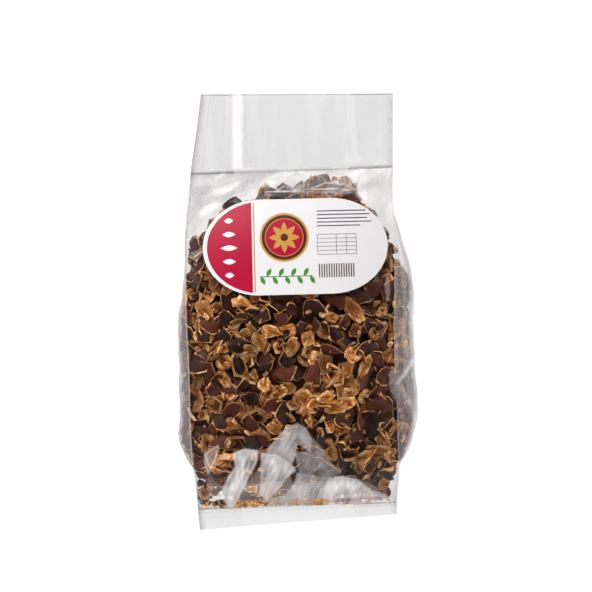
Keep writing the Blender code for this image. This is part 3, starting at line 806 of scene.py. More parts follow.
CUP_RINGS = (
    Ring(0.0, -0.3, 0, 1, 0.1), Ring(0.56, -0.1, 0, 0.9, 0.2), Ring(0.84, 0.46, 0, 0.1, 0.8),
    Ring(1.0, 0.3, 0, 0, 1.0), Ring(0.9, -0.4, 1, 0, 0.4), Ring(0.0, -0.9, 1, 0, 0.1),
)
SLICE_RINGS = (
    Ring(0.0, -0.4, 0, 1, 0.1), Ring(0.3, 0.3, 0, 0.7, 0.5), Ring(0.5, 0.5, 0, 0, 0.6),
    Ring(0.92, 0.4, 0, 0, 0.7), Ring(1.0, -0.3, 1, 0, 0.5), Ring(0.0, -0.4, 0, 0.6, 0.1),
)
CRUMB_RINGS = (
    Ring(0.0, 0.5, 0, 0, 0.6), Ring(0.7, 0.4, 0, 0, 0.9), Ring(1.0, -0.1, 0, 0.2, 1.0),
    Ring(0.0, -0.5, 0, 0.3, 0.5),
)
SHARDS = (
    Shard(WALL_RINGS, 10, 5, 7.8, 6.0, 2.2, 0.075, 0.010),
    Shard(WALL_RINGS, 12, 4, 8.8, 5.2, 2.0, 0.110, -0.015),
    Shard(WALL_RINGS, 12, 6, 7.8, 6.4, 2.2, 0.070, 0.030),
    Shard(WALL_RINGS, 10, 5, 10.6, 7.4, 2.2, 0.055, -0.020),
    Shard(WALL_RINGS, 12, 4, 8.6, 7.0, 2.0, 0.085, 0.0),
    Shard(WALL_RINGS, 12, 6, 6.6, 6.0, 2.2, -0.040, 0.035),
    Shard(WALL_RINGS, 10, 5, 11.6, 6.4, 2.2, 0.085, 0.020),
    Shard(FLESH_RINGS, 12, 6, 6.8, 5.2, 3.8, 0.020, 0.010),
    Shard(FLESH_RINGS, 10, 5, 6.4, 5.6, 4.2, 0.0, -0.020),
    Shard(FLESH_RINGS, 12, 4, 8.0, 5.6, 3.6, 0.040, 0.020),
    Shard(FLESH_RINGS, 12, 6, 8.8, 6.8, 4.2, 0.020, 0.0),
    Shard(FLESH_RINGS, 10, 5, 6.8, 5.0, 3.6, 0.030, -0.020),
    Shard(SLICE_RINGS, 12, 6, 7.6, 5.4, 3.8, 0.015, 0.010),
    Shard(WALL_RINGS, 12, 4, 10.0, 3.4, 2.4, 0.090, 0.030),
    Shard(FLESH_RINGS, 12, 6, 8.8, 3.2, 3.0, 0.060, 0.040),
    Shard(CRUMB_RINGS, 8, 4, 4.4, 3.2, 2.4, 0.0, 0.0),
    Shard(CRUMB_RINGS, 10, 5, 5.6, 2.4, 2.0, 0.080, 0.050),
    Shard(CRUMB_RINGS, 10, 5, 4.0, 3.2, 2.2, 0.0, 0.060),
    Shard(CUP_RINGS, 10, 5, 7.6, 6.4, 4.0, -0.020, 0.020),
    Shard(WALL_RINGS, 10, 5, 9.0, 4.6, 2.4, 0.080, -0.030),
    Shard(CUP_RINGS, 12, 6, 8.6, 5.6, 4.4, -0.010, -0.020),
)


def shard_outline(shard, draw):
    """The shard's broken outline, a polygon that reaches about 1 from its middle."""
    corners = []
    for i in range(shard.corners):
        angle = math.tau * (i + draw.uniform(-CORNER_SWAY, CORNER_SWAY)) / shard.corners
        corners.append(Vector((math.cos(angle), math.sin(angle))) * draw.uniform(*CORNER_REACH))
    outline = []
    for i in range(shard.sectors):
        corner, share = divmod(i * shard.corners, shard.sectors)
        follower = corners[(corner + 1) % shard.corners]
        spot = corners[corner].lerp(follower, share / shard.sectors)
        outline.append(spot * draw.uniform(EDGE_LOW, 1.0 + EDGE_BULGE * min(share, 1)))
    return outline


def shard_points(shard, outline):
    """The shard's points ring by ring, with one point for each of its two middles."""
    points = []
    for ring in shard.rings:
        if ring.reach == 0:
            points.append(Vector((0, 0, ring.height * shard.thick)))
            continue
        for spot in outline:
            x = spot.x * ring.reach * shard.length
            y = spot.y * ring.reach * shard.width
            warp = shard.twist * x * y - shard.bend * y * y
            points.append(Vector((x, y, ring.height * shard.thick + warp)))
    return points


def shard_mesh(name, shard, draw):
    """One master shard, with what each point is made of stored on it."""
    points = shard_points(shard, shard_outline(shard, draw))
    count, last = shard.sectors, len(points) - 1
    faces = []
    for i in range(count):
        k = (i + 1) % count
        faces.append((0, 1 + i, 1 + k))
        for ring in range(len(shard.rings) - 3):
            a, b = 1 + ring * count + i, 1 + ring * count + k
            faces.append((a, a + count, b + count, b))
        faces.append((last, last - count + k, last - count + i))
    mesh = bpy.data.meshes.new(name)
    mesh.from_pydata([point * MM for point in points], [], faces)
    for field in ("skin", "hollow", "torn"):
        values = []
        for ring in shard.rings:
            values += [float(getattr(ring, field))] * (1 if ring.reach == 0 else count)
        mesh.attributes.new(field, "FLOAT", "POINT").data.foreach_set("value", values)
    grain = mesh.attributes.new("grain", "FLOAT_VECTOR", "POINT")
    grain.data.foreach_set("vector", [value for point in points for value in point])
    mesh.update()
    return mesh


# How a shard's outline wanders: its corners round it and in and out, and the points
# between them.
CORNER_SWAY, CORNER_REACH = 0.26, (0.8, 1.08)
EDGE_LOW, EDGE_BULGE = 0.92, 0.16

# A layer of shards. spacing is a share of the outer one's, depth is how far under the
# heap's surface their middles lie, tilt how far they lean at most, and kinds the masters
# to draw from, repeated where more common.
Layer = namedtuple("Layer", "piece spacing tries depth tilt_deg scale kinds")
Placed = namedtuple("Placed", "centre turn scale kind tone hue")
OUTER_KINDS = (
    0, 0, 1, 1, 2, 2, 3, 3, 4, 4, 5, 5, 6, 6, 19, 19, 13, 7, 7, 8, 9, 9, 10, 11, 11, 12, 14, 18,
    18, 20, 20,
)
INNER_KINDS = (0, 1, 2, 3, 5, 7, 8, 10)
CRUMB_KINDS = (15, 15, 16, 17, 17, 11, 14, 7, 5, 19)
LAYERS = (
    Layer("pod_pieces_outer", 1.0, 40000, (1.2, 4.4), 36, (0.74, 1.6), OUTER_KINDS),
    Layer("pod_crumbs", 0.74, 40000, (3.4, 6.8), 70, (0.6, 1.1), CRUMB_KINDS),
    Layer("pod_pieces_inner", 1.1, 16000, (6.0, 8.5), 40, (0.9, 1.25), INNER_KINDS),
)
FLIPPED_SHARE, STRETCH = 0.26, (0.86, 1.16)
SETTLE_PASSES, SETTLE_EXTRA = 10, 0.1
SHARD_CLEAR, FLAKE_CLEAR = 0.75, 0.25
TEARS_PER_METRE, SHARP_DEG = 210.0, 38

# Crumbs caught along the foot's weld, most of them left of its middle.
FOOT_CRUMBS, FOOT_CRUMB_X, FOOT_CRUMB_Y = 240, (-69, 67, -20), (-135.9, -132.0)
FOOT_CRUMB_KIND, FOOT_CRUMB_SIZES, FOOT_CRUMB_TURN = 15, (0.45, 0.9), 0.5
FOOT_CRUMB_TONES = (0.5, 1)

# Flat pieces pressed under the front panel and over the back one by turns, where the heap
# thins out towards the foot. Above FLAKE_TOP they lie only where the gussets tuck in.
FOOT_FLAKES, FLAKE_SPACING, FLAKE_FLATNESS, FLAKE_SUNK = 5000, 4.8, 0.2, 0.9
FLAKE_X, FLAKE_Y, FLAKE_TOP, FLAKE_SIDE = (-71.0, 63.0), (-133.6, -106.0), -118, 6
FLAKE_SIZES, FLAKE_SHARES, WELD_CLEAR = (0.55, 1.05), (1.0, 0.7, 0.5, 0.35), 2.0
FLAKE_KINDS = (0, 1, 2, 4, 5, 6, 7, 9, 10, 11, 15, 17, 18, 19)
# Two flakes on the same panel keep apart, and two on different ones needn't.
PANELS_APART, FLAKE_RAY = 40.0, 80


def scattered_spots(layer, spacing, draw):
    """Spots on the heap's surface, spread evenly by a least distance between them."""
    spots = []
    taken = np.empty((0, 3))
    for _ in range(layer.tries):
        along, turn = draw.uniform(*HEAP_ALONG), draw.uniform(-math.pi, math.pi)
        point = heap_point(along, turn, 0)
        if np.all(np.linalg.norm(taken - point, axis=1) > spacing * layer.spacing):
            taken = np.vstack([taken, point])
            spots.append((point, heap_normal(along, turn)))
    return spots


def settled(centre, corners, tree, clear=SHARD_CLEAR):
    """The centre moved until every corner is clear of the film, or nothing if it can't be."""
    for _ in range(SETTLE_PASSES):
        worst, away = -math.inf, None
        for corner in corners:
            point = centre + corner
            place, outward, _, _ = tree.find_nearest(point * MM)
            reach = (point - place / MM).dot(outward)
            if reach > worst:
                worst, away = reach, outward
        if worst <= -clear:
            return centre
        centre = centre - away * (worst + clear + SETTLE_EXTRA)
    return None


def lay_shards(layer, spacing, masters, tree, draw):
    """Lays one layer of shards under the film."""
    placed = []
    for point, normal in scattered_spots(layer, spacing, draw):
        kind = draw.choice(layer.kinds)
        lean = [math.radians(draw.uniform(-layer.tilt_deg, layer.tilt_deg)) for _ in range(2)]
        over = math.pi if draw.random() < FLIPPED_SHARE else 0.0
        spin = Euler((lean[0] + over, lean[1], 0)).to_matrix()
        spin = spin @ Matrix.Rotation(draw.uniform(0, math.tau), 3, "Z")
        axes = normal.to_track_quat("Z", "Y").to_matrix() @ spin
        size = draw.uniform(*layer.scale)
        scale = Vector([size * draw.uniform(*STRETCH) for _ in range(3)])
        corners = [axes @ (corner * scale) for corner in masters[kind]]
        centre = settled(point - normal * draw.uniform(*layer.depth), corners, tree)
        tone, hue = draw.random(), draw.random()
        if centre:
            placed.append(Placed(centre, axes.to_euler(), scale, kind, tone, hue))
    return placed


def foot_flakes(masters, tree, draw):
    """Flat pieces pressed against the front panel and the back one by turns, at the foot."""
    placed, taken = [], []
    for i in range(FOOT_FLAKES):
        x, y = draw.uniform(*FLAKE_X), draw.uniform(*FLAKE_Y)
        row = PROFILE.at(y)
        inner_left = row.left - row.out_left + FLAKE_SIDE
        inner_right = row.right + row.out_right - FLAKE_SIDE
        side = 1 if i % 2 else -1
        spot = Vector((x, y, PANELS_APART * side))
        if y > FLAKE_TOP and inner_left <= x <= inner_right:
            continue
        if any((spot - other).length < FLAKE_SPACING for other in taken):
            continue
        start = Vector((x, y + row.slant * x, FLAKE_RAY * side)) * MM
        hit, outward, _, _ = tree.ray_cast(start, Vector((0, 0, -side)))
        kind = draw.choice(FLAKE_KINDS)
        size = draw.uniform(*FLAKE_SIZES)
        spin = Matrix.Rotation(draw.uniform(0, math.tau), 3, "Z")
        tone, hue = draw.random(), draw.random()
        if not hit:
            continue
        axes = outward.to_track_quat("Z", "Y").to_matrix() @ spin
        weld = FOOT_WELD_Y + WELD_CLEAR + row.slant * x
        for share in FLAKE_SHARES:
            scale = Vector((size * share, size * share, size * share * FLAKE_FLATNESS))
            corners = [axes @ (corner * scale) for corner in masters[kind]]
            centre = settled(hit / MM - outward * FLAKE_SUNK, corners, tree, FLAKE_CLEAR)
            if centre and all((centre + corner).y > weld for corner in corners):
                taken.append(spot)
                placed.append(Placed(centre, axes.to_euler(), scale, kind, tone, hue))
                break
    return placed


def foot_crumbs(draw):
    """Small flat crumbs caught between the two panels along the foot's weld."""
    placed = []
    for _ in range(FOOT_CRUMBS):
        x, y = draw.triangular(*FOOT_CRUMB_X), draw.uniform(*FOOT_CRUMB_Y)
        row = PROFILE.at(y)
        size = draw.uniform(*FOOT_CRUMB_SIZES)
        centre = Vector((x, y + row.slant * x, (row.back + front_height(row, x)) / 2))
        scale = Vector((size, size * 0.7, size * 0.35))
        turn = Euler((0, 0, draw.uniform(-FOOT_CRUMB_TURN, FOOT_CRUMB_TURN)))
        tone, hue = draw.uniform(*FOOT_CRUMB_TONES), draw.random()
        placed.append(Placed(centre, turn, scale, FOOT_CRUMB_KIND, tone, hue))
    return placed


def shard_tree():
    """Geometry Nodes that set the shards on their points and tear their broken edges."""
    tree = bpy.data.node_groups.new("lay_shards", "GeometryNodeTree")
    sockets = (
        ("Points", "NodeSocketGeometry"), ("Masters", "NodeSocketCollection"),
        ("Torn by", "NodeSocketFloat"), ("Tears per metre", "NodeSocketFloat"),
        ("Seed", "NodeSocketInt"), ("Material", "NodeSocketMaterial"),
    )
    for name, kind in sockets:
        tree.interface.new_socket(name, in_out="INPUT", socket_type=kind)
    tree.interface.new_socket("Shards", in_out="OUTPUT", socket_type="NodeSocketGeometry")
    given = add_node(tree, "NodeGroupInput").outputs
    fields = {}
    for name, kind in (("variant", "INT"), ("turn", "FLOAT_VECTOR"), ("size", "FLOAT_VECTOR")):
        field = add_node(tree, "GeometryNodeInputNamedAttribute", {"Name": name}, data_type=kind)
        fields[name] = field.outputs["Attribute"]
    pool = add_node(
        tree, "GeometryNodeCollectionInfo",
        {"Collection": given["Masters"], "Separate Children": True, "Reset Children": True},
    )
    turned = add_node(tree, "FunctionNodeEulerToRotation", {"Euler": fields["turn"]})
    copies = add_node(
        tree, "GeometryNodeInstanceOnPoints",
        {
            "Points": given["Points"], "Instance": pool.outputs[0], "Pick Instance": True,
            "Instance Index": fields["variant"], "Rotation": turned.outputs[0],
            "Scale": fields["size"],
        },
    )
    solid = add_node(tree, "GeometryNodeRealizeInstances", {"Geometry": copies.outputs[0]})
    torn = add_node(
        tree, "GeometryNodeInputNamedAttribute", {"Name": "torn"}, data_type="FLOAT"
    ).outputs["Attribute"]
    place = add_node(tree, "GeometryNodeInputPosition").outputs[0]
    tear = add_node(
        tree, "ShaderNodeTexNoise",
        {"Vector": place, "W": given["Seed"], "Scale": given["Tears per metre"], "Detail": 2.5},
        noise_dimensions="4D",
    ).outputs["Color"]
    spread = add_node(
        tree, "ShaderNodeVectorMath", {0: tear, 1: (0.5, 0.5, 0.5)}, operation="SUBTRACT"
    ).outputs[0]
    amount = add_node(tree, "ShaderNodeMath", {0: torn, 1: given["Torn by"]}, operation="MULTIPLY")
    shift = add_node(
        tree, "ShaderNodeVectorMath", {0: spread, "Scale": amount.outputs[0]}, operation="SCALE"
    )
    moved = add_node(
        tree, "GeometryNodeSetPosition", {"Geometry": solid.outputs[0], "Offset": shift.outputs[0]}
    )
    dressed = add_node(
        tree, "GeometryNodeSetMaterial",
        {"Geometry": moved.outputs[0], "Material": given["Material"]},
    )
    add_node(tree, "NodeGroupOutput", {"Shards": dressed.outputs[0]})
    return tree


def shards_as_mesh(name, placed, pool, tree, pods, material):
    """The placed shards as one plain mesh."""
    mesh = bpy.data.meshes.new(name + "_points")
    mesh.from_pydata([shard.centre * MM for shard in placed], [], [])
    columns = {
        "variant": ("INT", "value", [shard.kind for shard in placed]),
        "turn": ("FLOAT_VECTOR", "vector", [c for shard in placed for c in shard.turn]),
        "size": ("FLOAT_VECTOR", "vector", [c for shard in placed for c in shard.scale]),
        "tone": ("FLOAT", "value", [shard.tone for shard in placed]),
        "hue": ("FLOAT", "value", [shard.hue for shard in placed]),
    }
    for field, (kind, key, values) in columns.items():
        mesh.attributes.new(field, kind, "POINT").data.foreach_set(key, values)
    points = bpy.data.objects.new(name + "_points", mesh)
    bpy.context.scene.collection.objects.link(points)
    modifier = points.modifiers.new("lay_shards", "NODES")
    modifier.node_group = tree
    # The tears' noise swings by half each way, so it is doubled to reach the setting.
    values = {
        "Masters": pool, "Torn by": pods.ragged * 2, "Tears per metre": TEARS_PER_METRE,
        "Seed": pods.seed, "Material": material,
    }
    for socket in tree.interface.items_tree:
        if socket.in_out == "INPUT" and socket.name in values:
            modifier[socket.identifier] = values[socket.name]
    bpy.context.view_layer.update()
    graph = bpy.context.evaluated_depsgraph_get()
    solid = bpy.data.meshes.new_from_object(points.evaluated_get(graph))
    bpy.data.objects.remove(points, do_unlink=True)
    solid.name = name
    for field in ("variant", "turn", "size"):
        extra = solid.attributes.get(field)
        if extra:
            solid.attributes.remove(extra)
    solid.shade_smooth()
    solid.set_sharp_from_angle(angle=math.radians(SHARP_DEG))
    return solid


def dried_carob(pods):
    """Dried carob: smooth leathery skin with a bloom, and fibrous ochre flesh where it broke."""
    material, tree, output = blank_material("dried_carob")
    place = add_node(tree, "ShaderNodeTexCoord").outputs["Object"]
    masks = {}
    for name in ("skin", "hollow", "torn", "tone", "hue"):
        masks[name] = add_node(tree, "ShaderNodeAttribute", attribute_name=name).outputs["Fac"]
    coarse = add_node(
        tree, "ShaderNodeTexNoise",
        {"Vector": place, "Scale": 1 / (BLOOM_PATCH * MM), "Detail": 3.0},
    ).outputs["Fac"]
    local = add_node(tree, "ShaderNodeAttribute", attribute_name="grain").outputs["Vector"]
    apart = add_node(
        tree, "ShaderNodeVectorMath", {0: masks["tone"], 1: (91.0, 57.0, 73.0)},
        operation="MULTIPLY",
    ).outputs[0]
    run = (1 / FIBRE_LENGTH, 1 / FIBRE_WIDTH, 1 / FIBRE_WIDTH)
    along = add_node(
        tree, "ShaderNodeVectorMath", {0: local, 1: run, 2: apart}, operation="MULTIPLY_ADD"
    ).outputs[0]
    fibre = add_node(
        tree, "ShaderNodeTexNoise",
        {"Vector": along, "Scale": 1.0, "Detail": 4.0, "Roughness": 0.62, "Distortion": 0.4},
    ).outputs["Fac"]
    fine = add_node(
        tree, "ShaderNodeTexNoise",
        {"Vector": place, "Scale": 1 / (FLESH_GRIT * MM), "Detail": 3.0, "Roughness": 0.6},
    ).outputs["Fac"]
    dark_red = add_node(
        tree, "ShaderNodeMapRange",
        {"Value": masks["hue"], "From Min": 0.35, "From Max": 0.75},
    ).outputs["Result"]
    skin = add_node(
        tree, "ShaderNodeMix", {0: dark_red, 6: (*pods.skin_dark, 1), 7: (*pods.skin_red, 1)},
        data_type="RGBA",
    ).outputs[2]
    bloom = add_node(
        tree, "ShaderNodeMapRange",
        {"Value": coarse, "From Min": 0.45, "From Max": 0.75, "To Max": 0.4},
    ).outputs["Result"]
    skin = add_node(
        tree, "ShaderNodeMix", {0: bloom, 6: skin, 7: (*pods.skin_bloom, 1)}, data_type="RGBA"
    ).outputs[2]
    mottle = add_node(
        tree, "ShaderNodeMath", {0: fine, 1: 0.4, 2: fibre}, operation="MULTIPLY_ADD"
    ).outputs[0]
    streaks = add_node(
        tree, "ShaderNodeMath", {0: mottle, 1: 1.9, 2: -1.1}, operation="MULTIPLY_ADD"
    ).outputs[0]
    pale = add_node(
        tree, "ShaderNodeMath", {0: masks["torn"], 1: 0.5, 2: streaks}, operation="MULTIPLY_ADD"
    ).outputs[0]
    ramp = add_node(tree, "ShaderNodeValToRGB", {"Fac": pale})
    ramp.color_ramp.elements[0].position = 0.14
    ramp.color_ramp.elements[0].color = (*pods.flesh_dark, 1)
    ramp.color_ramp.elements[1].position = 0.95
    ramp.color_ramp.elements[1].color = (*pods.flesh_light, 1)
    middle = ramp.color_ramp.elements.new(0.52)
    middle.color = (*pods.flesh_mid, 1)
    brown = add_node(
        tree, "ShaderNodeMapRange",
        {"Value": masks["hue"], "From Min": 0.5, "From Max": 0.9, "To Max": 0.7},
    ).outputs["Result"]
    flesh = add_node(
        tree, "ShaderNodeMix", {0: brown, 6: ramp.outputs["Color"], 7: (*pods.flesh_dark, 1)},
        data_type="RGBA",
    ).outputs[2]
    # Seed chambers and the undersides of pieces darken towards the chambers' colour, partly painted
    # shade.
    hollow = add_node(
        tree, "ShaderNodeMath", {0: masks["hollow"], 1: 0.85}, operation="MULTIPLY"
    ).outputs[0]
    flesh = add_node(
        tree, "ShaderNodeMix", {0: hollow, 6: flesh, 7: (*pods.chamber_and_shade, 1)}, data_type="RGBA"
    ).outputs[2]
    wander = add_node(
        tree, "ShaderNodeMath", {0: fine, 1: 0.9, 2: -0.45}, operation="MULTIPLY_ADD"
    ).outputs[0]
    border = add_node(
        tree, "ShaderNodeMath", {0: masks["skin"], 1: wander}, operation="ADD"
    ).outputs[0]
    covered = add_node(
        tree, "ShaderNodeMapRange", {"Value": border, "From Min": 0.42, "From Max": 0.58},
        interpolation_type="SMOOTHSTEP",
    ).outputs["Result"]
    colour = add_node(
        tree, "ShaderNodeMix", {0: covered, 6: flesh, 7: skin}, data_type="RGBA"
    ).outputs[2]
    bright = add_node(
        tree, "ShaderNodeMapRange", {"Value": masks["tone"], "To Min": 0.6, "To Max": 1.6}
    ).outputs["Result"]
    colour = add_node(
        tree, "ShaderNodeVectorMath", {0: colour, "Scale": bright}, operation="SCALE"
    ).outputs[0]
    roughness = add_node(
        tree, "ShaderNodeMapRange", {"Value": covered, "To Min": 0.72, "To Max": 0.36}
    ).outputs["Result"]
    strength = add_node(
        tree, "ShaderNodeMapRange", {"Value": covered, "To Min": 0.9, "To Max": 0.55}
    ).outputs["Result"]
    bump = add_node(
        tree, "ShaderNodeBump",
        {"Height": mottle, "Distance": FLESH_RELIEF * MM, "Strength": strength},
    ).outputs["Normal"]
    shader = add_node(
        tree, "ShaderNodeBsdfPrincipled",
        {
            "Base Color": colour, "Roughness": roughness, "Specular IOR Level": 0.42,
            "Normal": bump,
        },
    )
    tree.links.new(shader.outputs[0], output.inputs["Surface"])
    return material


def carob_dust(pods):
    """Painted shade between the pieces, mottled dark red-brown like carob dust and small crumbs."""
    material, tree, output = blank_material("carob_dust")
    place = add_node(tree, "ShaderNodeTexCoord").outputs["Object"]
    grit = add_node(
        tree, "ShaderNodeTexNoise",
        {"Vector": place, "Scale": 1 / (DUST_AND_SHADE_GRIT * MM), "Detail": 4.0},
    ).outputs["Fac"]
    colour = add_node(
        tree, "ShaderNodeMix", {0: grit, 6: (*linear("#1e0b04"), 1), 7: (*linear("#44210f"), 1)},
        data_type="RGBA",
    ).outputs[2]
    shader = add_node(tree, "ShaderNodeBsdfPrincipled", {"Base Color": colour, "Roughness": 0.9})
    tree.links.new(shader.outputs[0], output.inputs["Surface"])
    return material


def core_mesh():
    """A dark sheet inside the heap, painted shade seen only between the shards."""
    bm = bmesh.new()
    bmesh.ops.create_uvsphere(bm, u_segments=CORE_SIDES, v_segments=CORE_RINGS, radius=1.0)
    for vert in bm.verts:
        along = 1 - math.acos(max(-1.0, min(1.0, vert.co.z))) / math.pi
        turn = math.atan2(vert.co.y, vert.co.x)
        if along in (0.0, 1.0):
            right, left = (heap_point(along, end, CORE_DEPTH) for end in (0, math.pi))
            vert.co = (right + left) / 2 * MM
        else:
            vert.co = heap_point(along, turn, CORE_DEPTH) * MM
    bm.normal_update()
    bmesh.ops.recalc_face_normals(bm, faces=bm.faces)
    mesh = bpy.data.meshes.new("pod_dust")
    bm.to_mesh(mesh)
    bm.free()
    mesh.shade_smooth()
    return mesh


class CAROB_OT_film(bpy.types.Operator):
    """Makes the creased film bag"""

    bl_idname = "carob_bag.film"
    bl_label = "Film"

    def execute(self, context):
        settings = context.scene.carob_film
        mesh = film_mesh(settings)
        mesh.shade_smooth()
        finished(
            "film_bag_creased", mesh, cast_polypropylene_film(settings), ["film_bag"]
        )
        return {"FINISHED"}


class CAROB_OT_pods(bpy.types.Operator):
    """Lays the chopped pods under the film"""

    bl_idname = "carob_bag.pods"
    bl_label = "Chopped pods"

    def execute(self, context):
        settings = context.scene.carob_pods
        draw = random.Random(settings.seed)
        pool = bpy.data.collections.new("shard_masters")
        context.scene.collection.children.link(pool)
        corners = []
        for i, shard in enumerate(SHARDS):
            mesh = shard_mesh(f"shard_{i:02d}", shard, draw)
            pool.objects.link(bpy.data.objects.new(mesh.name, mesh))
            corners.append([v.co / MM for v in mesh.vertices])
        sheet = bpy.data.objects["film_bag_creased"]
        film_tree = BVHTree.FromObject(sheet, context.evaluated_depsgraph_get())
        material = dried_carob(settings)
        tree = shard_tree()
        for layer in LAYERS:
            placed = lay_shards(layer, settings.spacing / MM, corners, film_tree, draw)
            if layer.piece == "pod_crumbs":
                placed += foot_crumbs(draw) + foot_flakes(corners, film_tree, draw)
            mesh = shards_as_mesh(layer.piece, placed, pool, tree, settings, material)
            finished(layer.piece, mesh, material, ["pod_pieces"])
        # A dark core under the pieces, painted shade seen between them.
        finished("pod_dust", core_mesh(), carob_dust(settings), ["pod_pieces"])
        for master in list(pool.objects):
            bpy.data.objects.remove(master, do_unlink=True)
        bpy.data.collections.remove(pool)
        return {"FINISHED"}


def on_front(flat, lift):
    """A point of the flat label, turned, moved to its place and laid over the front panel."""
    spot = Matrix.Rotation(math.radians(LABEL_TURN_DEG), 2) @ flat + Vector((LABEL_X, LABEL_Y))
    row = PROFILE.at(spot.y - PROFILE.at(spot.y).slant * spot.x)
    return Vector((spot.x, spot.y, front_height(row, spot.x) + lift)) * MM


def label_outline(share=1.0, end_steps=40, edge_steps=24):
    """The label's outline, shrunk to share of its size."""
    half = []
    for i in range(end_steps + 1):
        turn = math.pi * (i / end_steps - 0.5)
        x = LABEL_STRAIGHT + LABEL_END * math.cos(turn)
        half.append(Vector((x, LABEL_HALF_HEIGHT * math.sin(turn))))
    for i in range(1, edge_steps):
        half.append(Vector((LABEL_STRAIGHT * (1 - 2 * i / edge_steps), LABEL_HALF_HEIGHT)))
    return [point * share for point in half + [-point for point in half]]


def label_sheet():
    """The paper: two draped faces and the cut edge between them."""
    bm = bmesh.new()
    outline = label_outline()
    edges = []
    for lift in (LABEL_LIFT + LABEL_THICK, LABEL_LIFT):
        centre = bm.verts.new(on_front(Vector((0, 0)), lift))
        rows = []
        for ring in range(1, LABEL_RINGS + 1):
            spots = [on_front(flat * ring / LABEL_RINGS, lift) for flat in outline]
            rows.append([bm.verts.new(spot) for spot in spots])
        for i in range(len(outline)):
            k = (i + 1) % len(outline)
            bm.faces.new((centre, rows[0][i], rows[0][k]))
            for inner, outer in zip(rows, rows[1:]):
                bm.faces.new((inner[i], outer[i], outer[k], inner[k]))
        edges.append(rows[-1])
    upper, under = edges
    for i in range(len(outline)):
        k = (i + 1) % len(outline)
        bm.faces.new((upper[i], under[i], under[k], upper[k]))
    bm.normal_update()
    bmesh.ops.recalc_face_normals(bm, faces=bm.faces)
    mesh = bpy.data.meshes.new("label_sheet")
    bm.to_mesh(mesh)
    bm.free()
    mesh.shade_smooth()
    mesh.set_sharp_from_angle(angle=math.radians(40))
    return mesh


def coated_paper(label):
    """Coated label paper: white with a soft sheen, laid over uneven pieces so it dips a little."""
    material, tree, output = blank_material("coated_paper")
    place = add_node(tree, "ShaderNodeTexCoord").outputs["Object"]
    dips = add_node(
        tree, "ShaderNodeTexNoise", {"Vector": place, "Scale": 1 / (PAPER_DIP * MM)}
    ).outputs["Fac"]
    bump = add_node(
        tree, "ShaderNodeBump",
        {"Height": dips, "Distance": PAPER_DIP_DEPTH * MM, "Strength": 0.3},
    ).outputs["Normal"]
    shader = add_node(
        tree, "ShaderNodeBsdfPrincipled",
        {"Base Color": (*label.paper, 1), "Roughness": 0.38, "Normal": bump},
    )
    tree.links.new(shader.outputs[0], output.inputs["Surface"])
    return material


# The print, in millimetres from the label's middle. Each ink lies a little over the last.
PANEL_RIGHT, PANEL_INSET, PANEL_TOP = -30.0, 0.955, 0.992
PANEL_LINE = (-28.9, -31.0, -28.0, 31.0)
ALMONDS_X, ALMONDS_Y, ALMONDS_STEP = -46, 19.0, 9.5
ALMOND_HALF_LENGTHS, ALMOND_HALF_WIDTH = (3.2, 4.6, 6.0, 4.6, 3.2), 1.9
ROUNDEL_X, ROUNDEL_Y = -7.5, 6.5
ROUNDEL_RINGS = ((17.0, "gold"), (15.6, "cocoa"), (13.4, "gold"), (12.9, "crimson"))
ROSETTE_PETALS, PETAL_LENGTH, PETAL_HALF_WIDTH = 8, 10.8, 2.1
HUB_R, HUB_SIDES = 2.6, 24
LEAVES, LEAVES_X, LEAVES_Y, LEAVES_STEP = 9, -24.5, -20.5, 4.3
LEAF_TURN_DEG, LEAF_LENGTH, LEAF_HALF_WIDTH = 62, 6.4, 1.5
STEM = (-25.0, -20.9, 11.5, -20.3)
RULES_X, RULES_Y, RULES_STEP, RULE_THICK = 15.5, 24.0, 2.6, 0.75
RULE_LENGTHS = (34.0, 37.0, 35.0, 38.0, 30.0)
GRID_X, GRID_Y, GRID_WIDTH, GRID_HEIGHT = 15.5, 8.0, 27.0, 14.0
GRID_COLUMNS, GRID_ROWS, GRID_HALF_LINE = (0.0, 13.0, 20.0, 27.0), 5, 0.15
STRIPES_X, STRIPES_Y, STRIPES_STEP, STRIPES = 16.0, -12.5, 1.7, 15
STRIPE_WIDTH, STRIPE_HEIGHT = 0.8, 9.5
CUT_STEP, CUTS = 3.0, 22


def box(left, low, right, high):
    return [Vector((left, low)), Vector((right, low)), Vector((right, high)), Vector((left, high))]


def disc(x, y, radius, sides=72):
    turns = [math.tau * i / sides for i in range(sides)]
    return [Vector((x + radius * math.cos(turn), y + radius * math.sin(turn))) for turn in turns]


def petal(x, y, turn, length, width, steps=9):
    """An almond from (x, y) outwards in the direction of turn."""
    side = [Vector((length * i / steps, width * math.sin(math.pi * i / steps))) for i in range(steps)]
    tip = [Vector((length - p.x, -p.y)) for p in side]
    spin = Matrix.Rotation(turn, 2)
    return [spin @ point + Vector((x, y)) for point in side + tip]


def end_panel():
    """The coloured left end of the label, cut off straight on its right."""
    edge = [p for p in label_outline(PANEL_INSET) if p.x < PANEL_RIGHT]
    edge.sort(key=lambda p: math.atan2(p.y, p.x) % math.tau)
    top = Vector((PANEL_RIGHT, LABEL_HALF_HEIGHT * PANEL_INSET * PANEL_TOP))
    return [top, *edge, Vector((top.x, -top.y))]


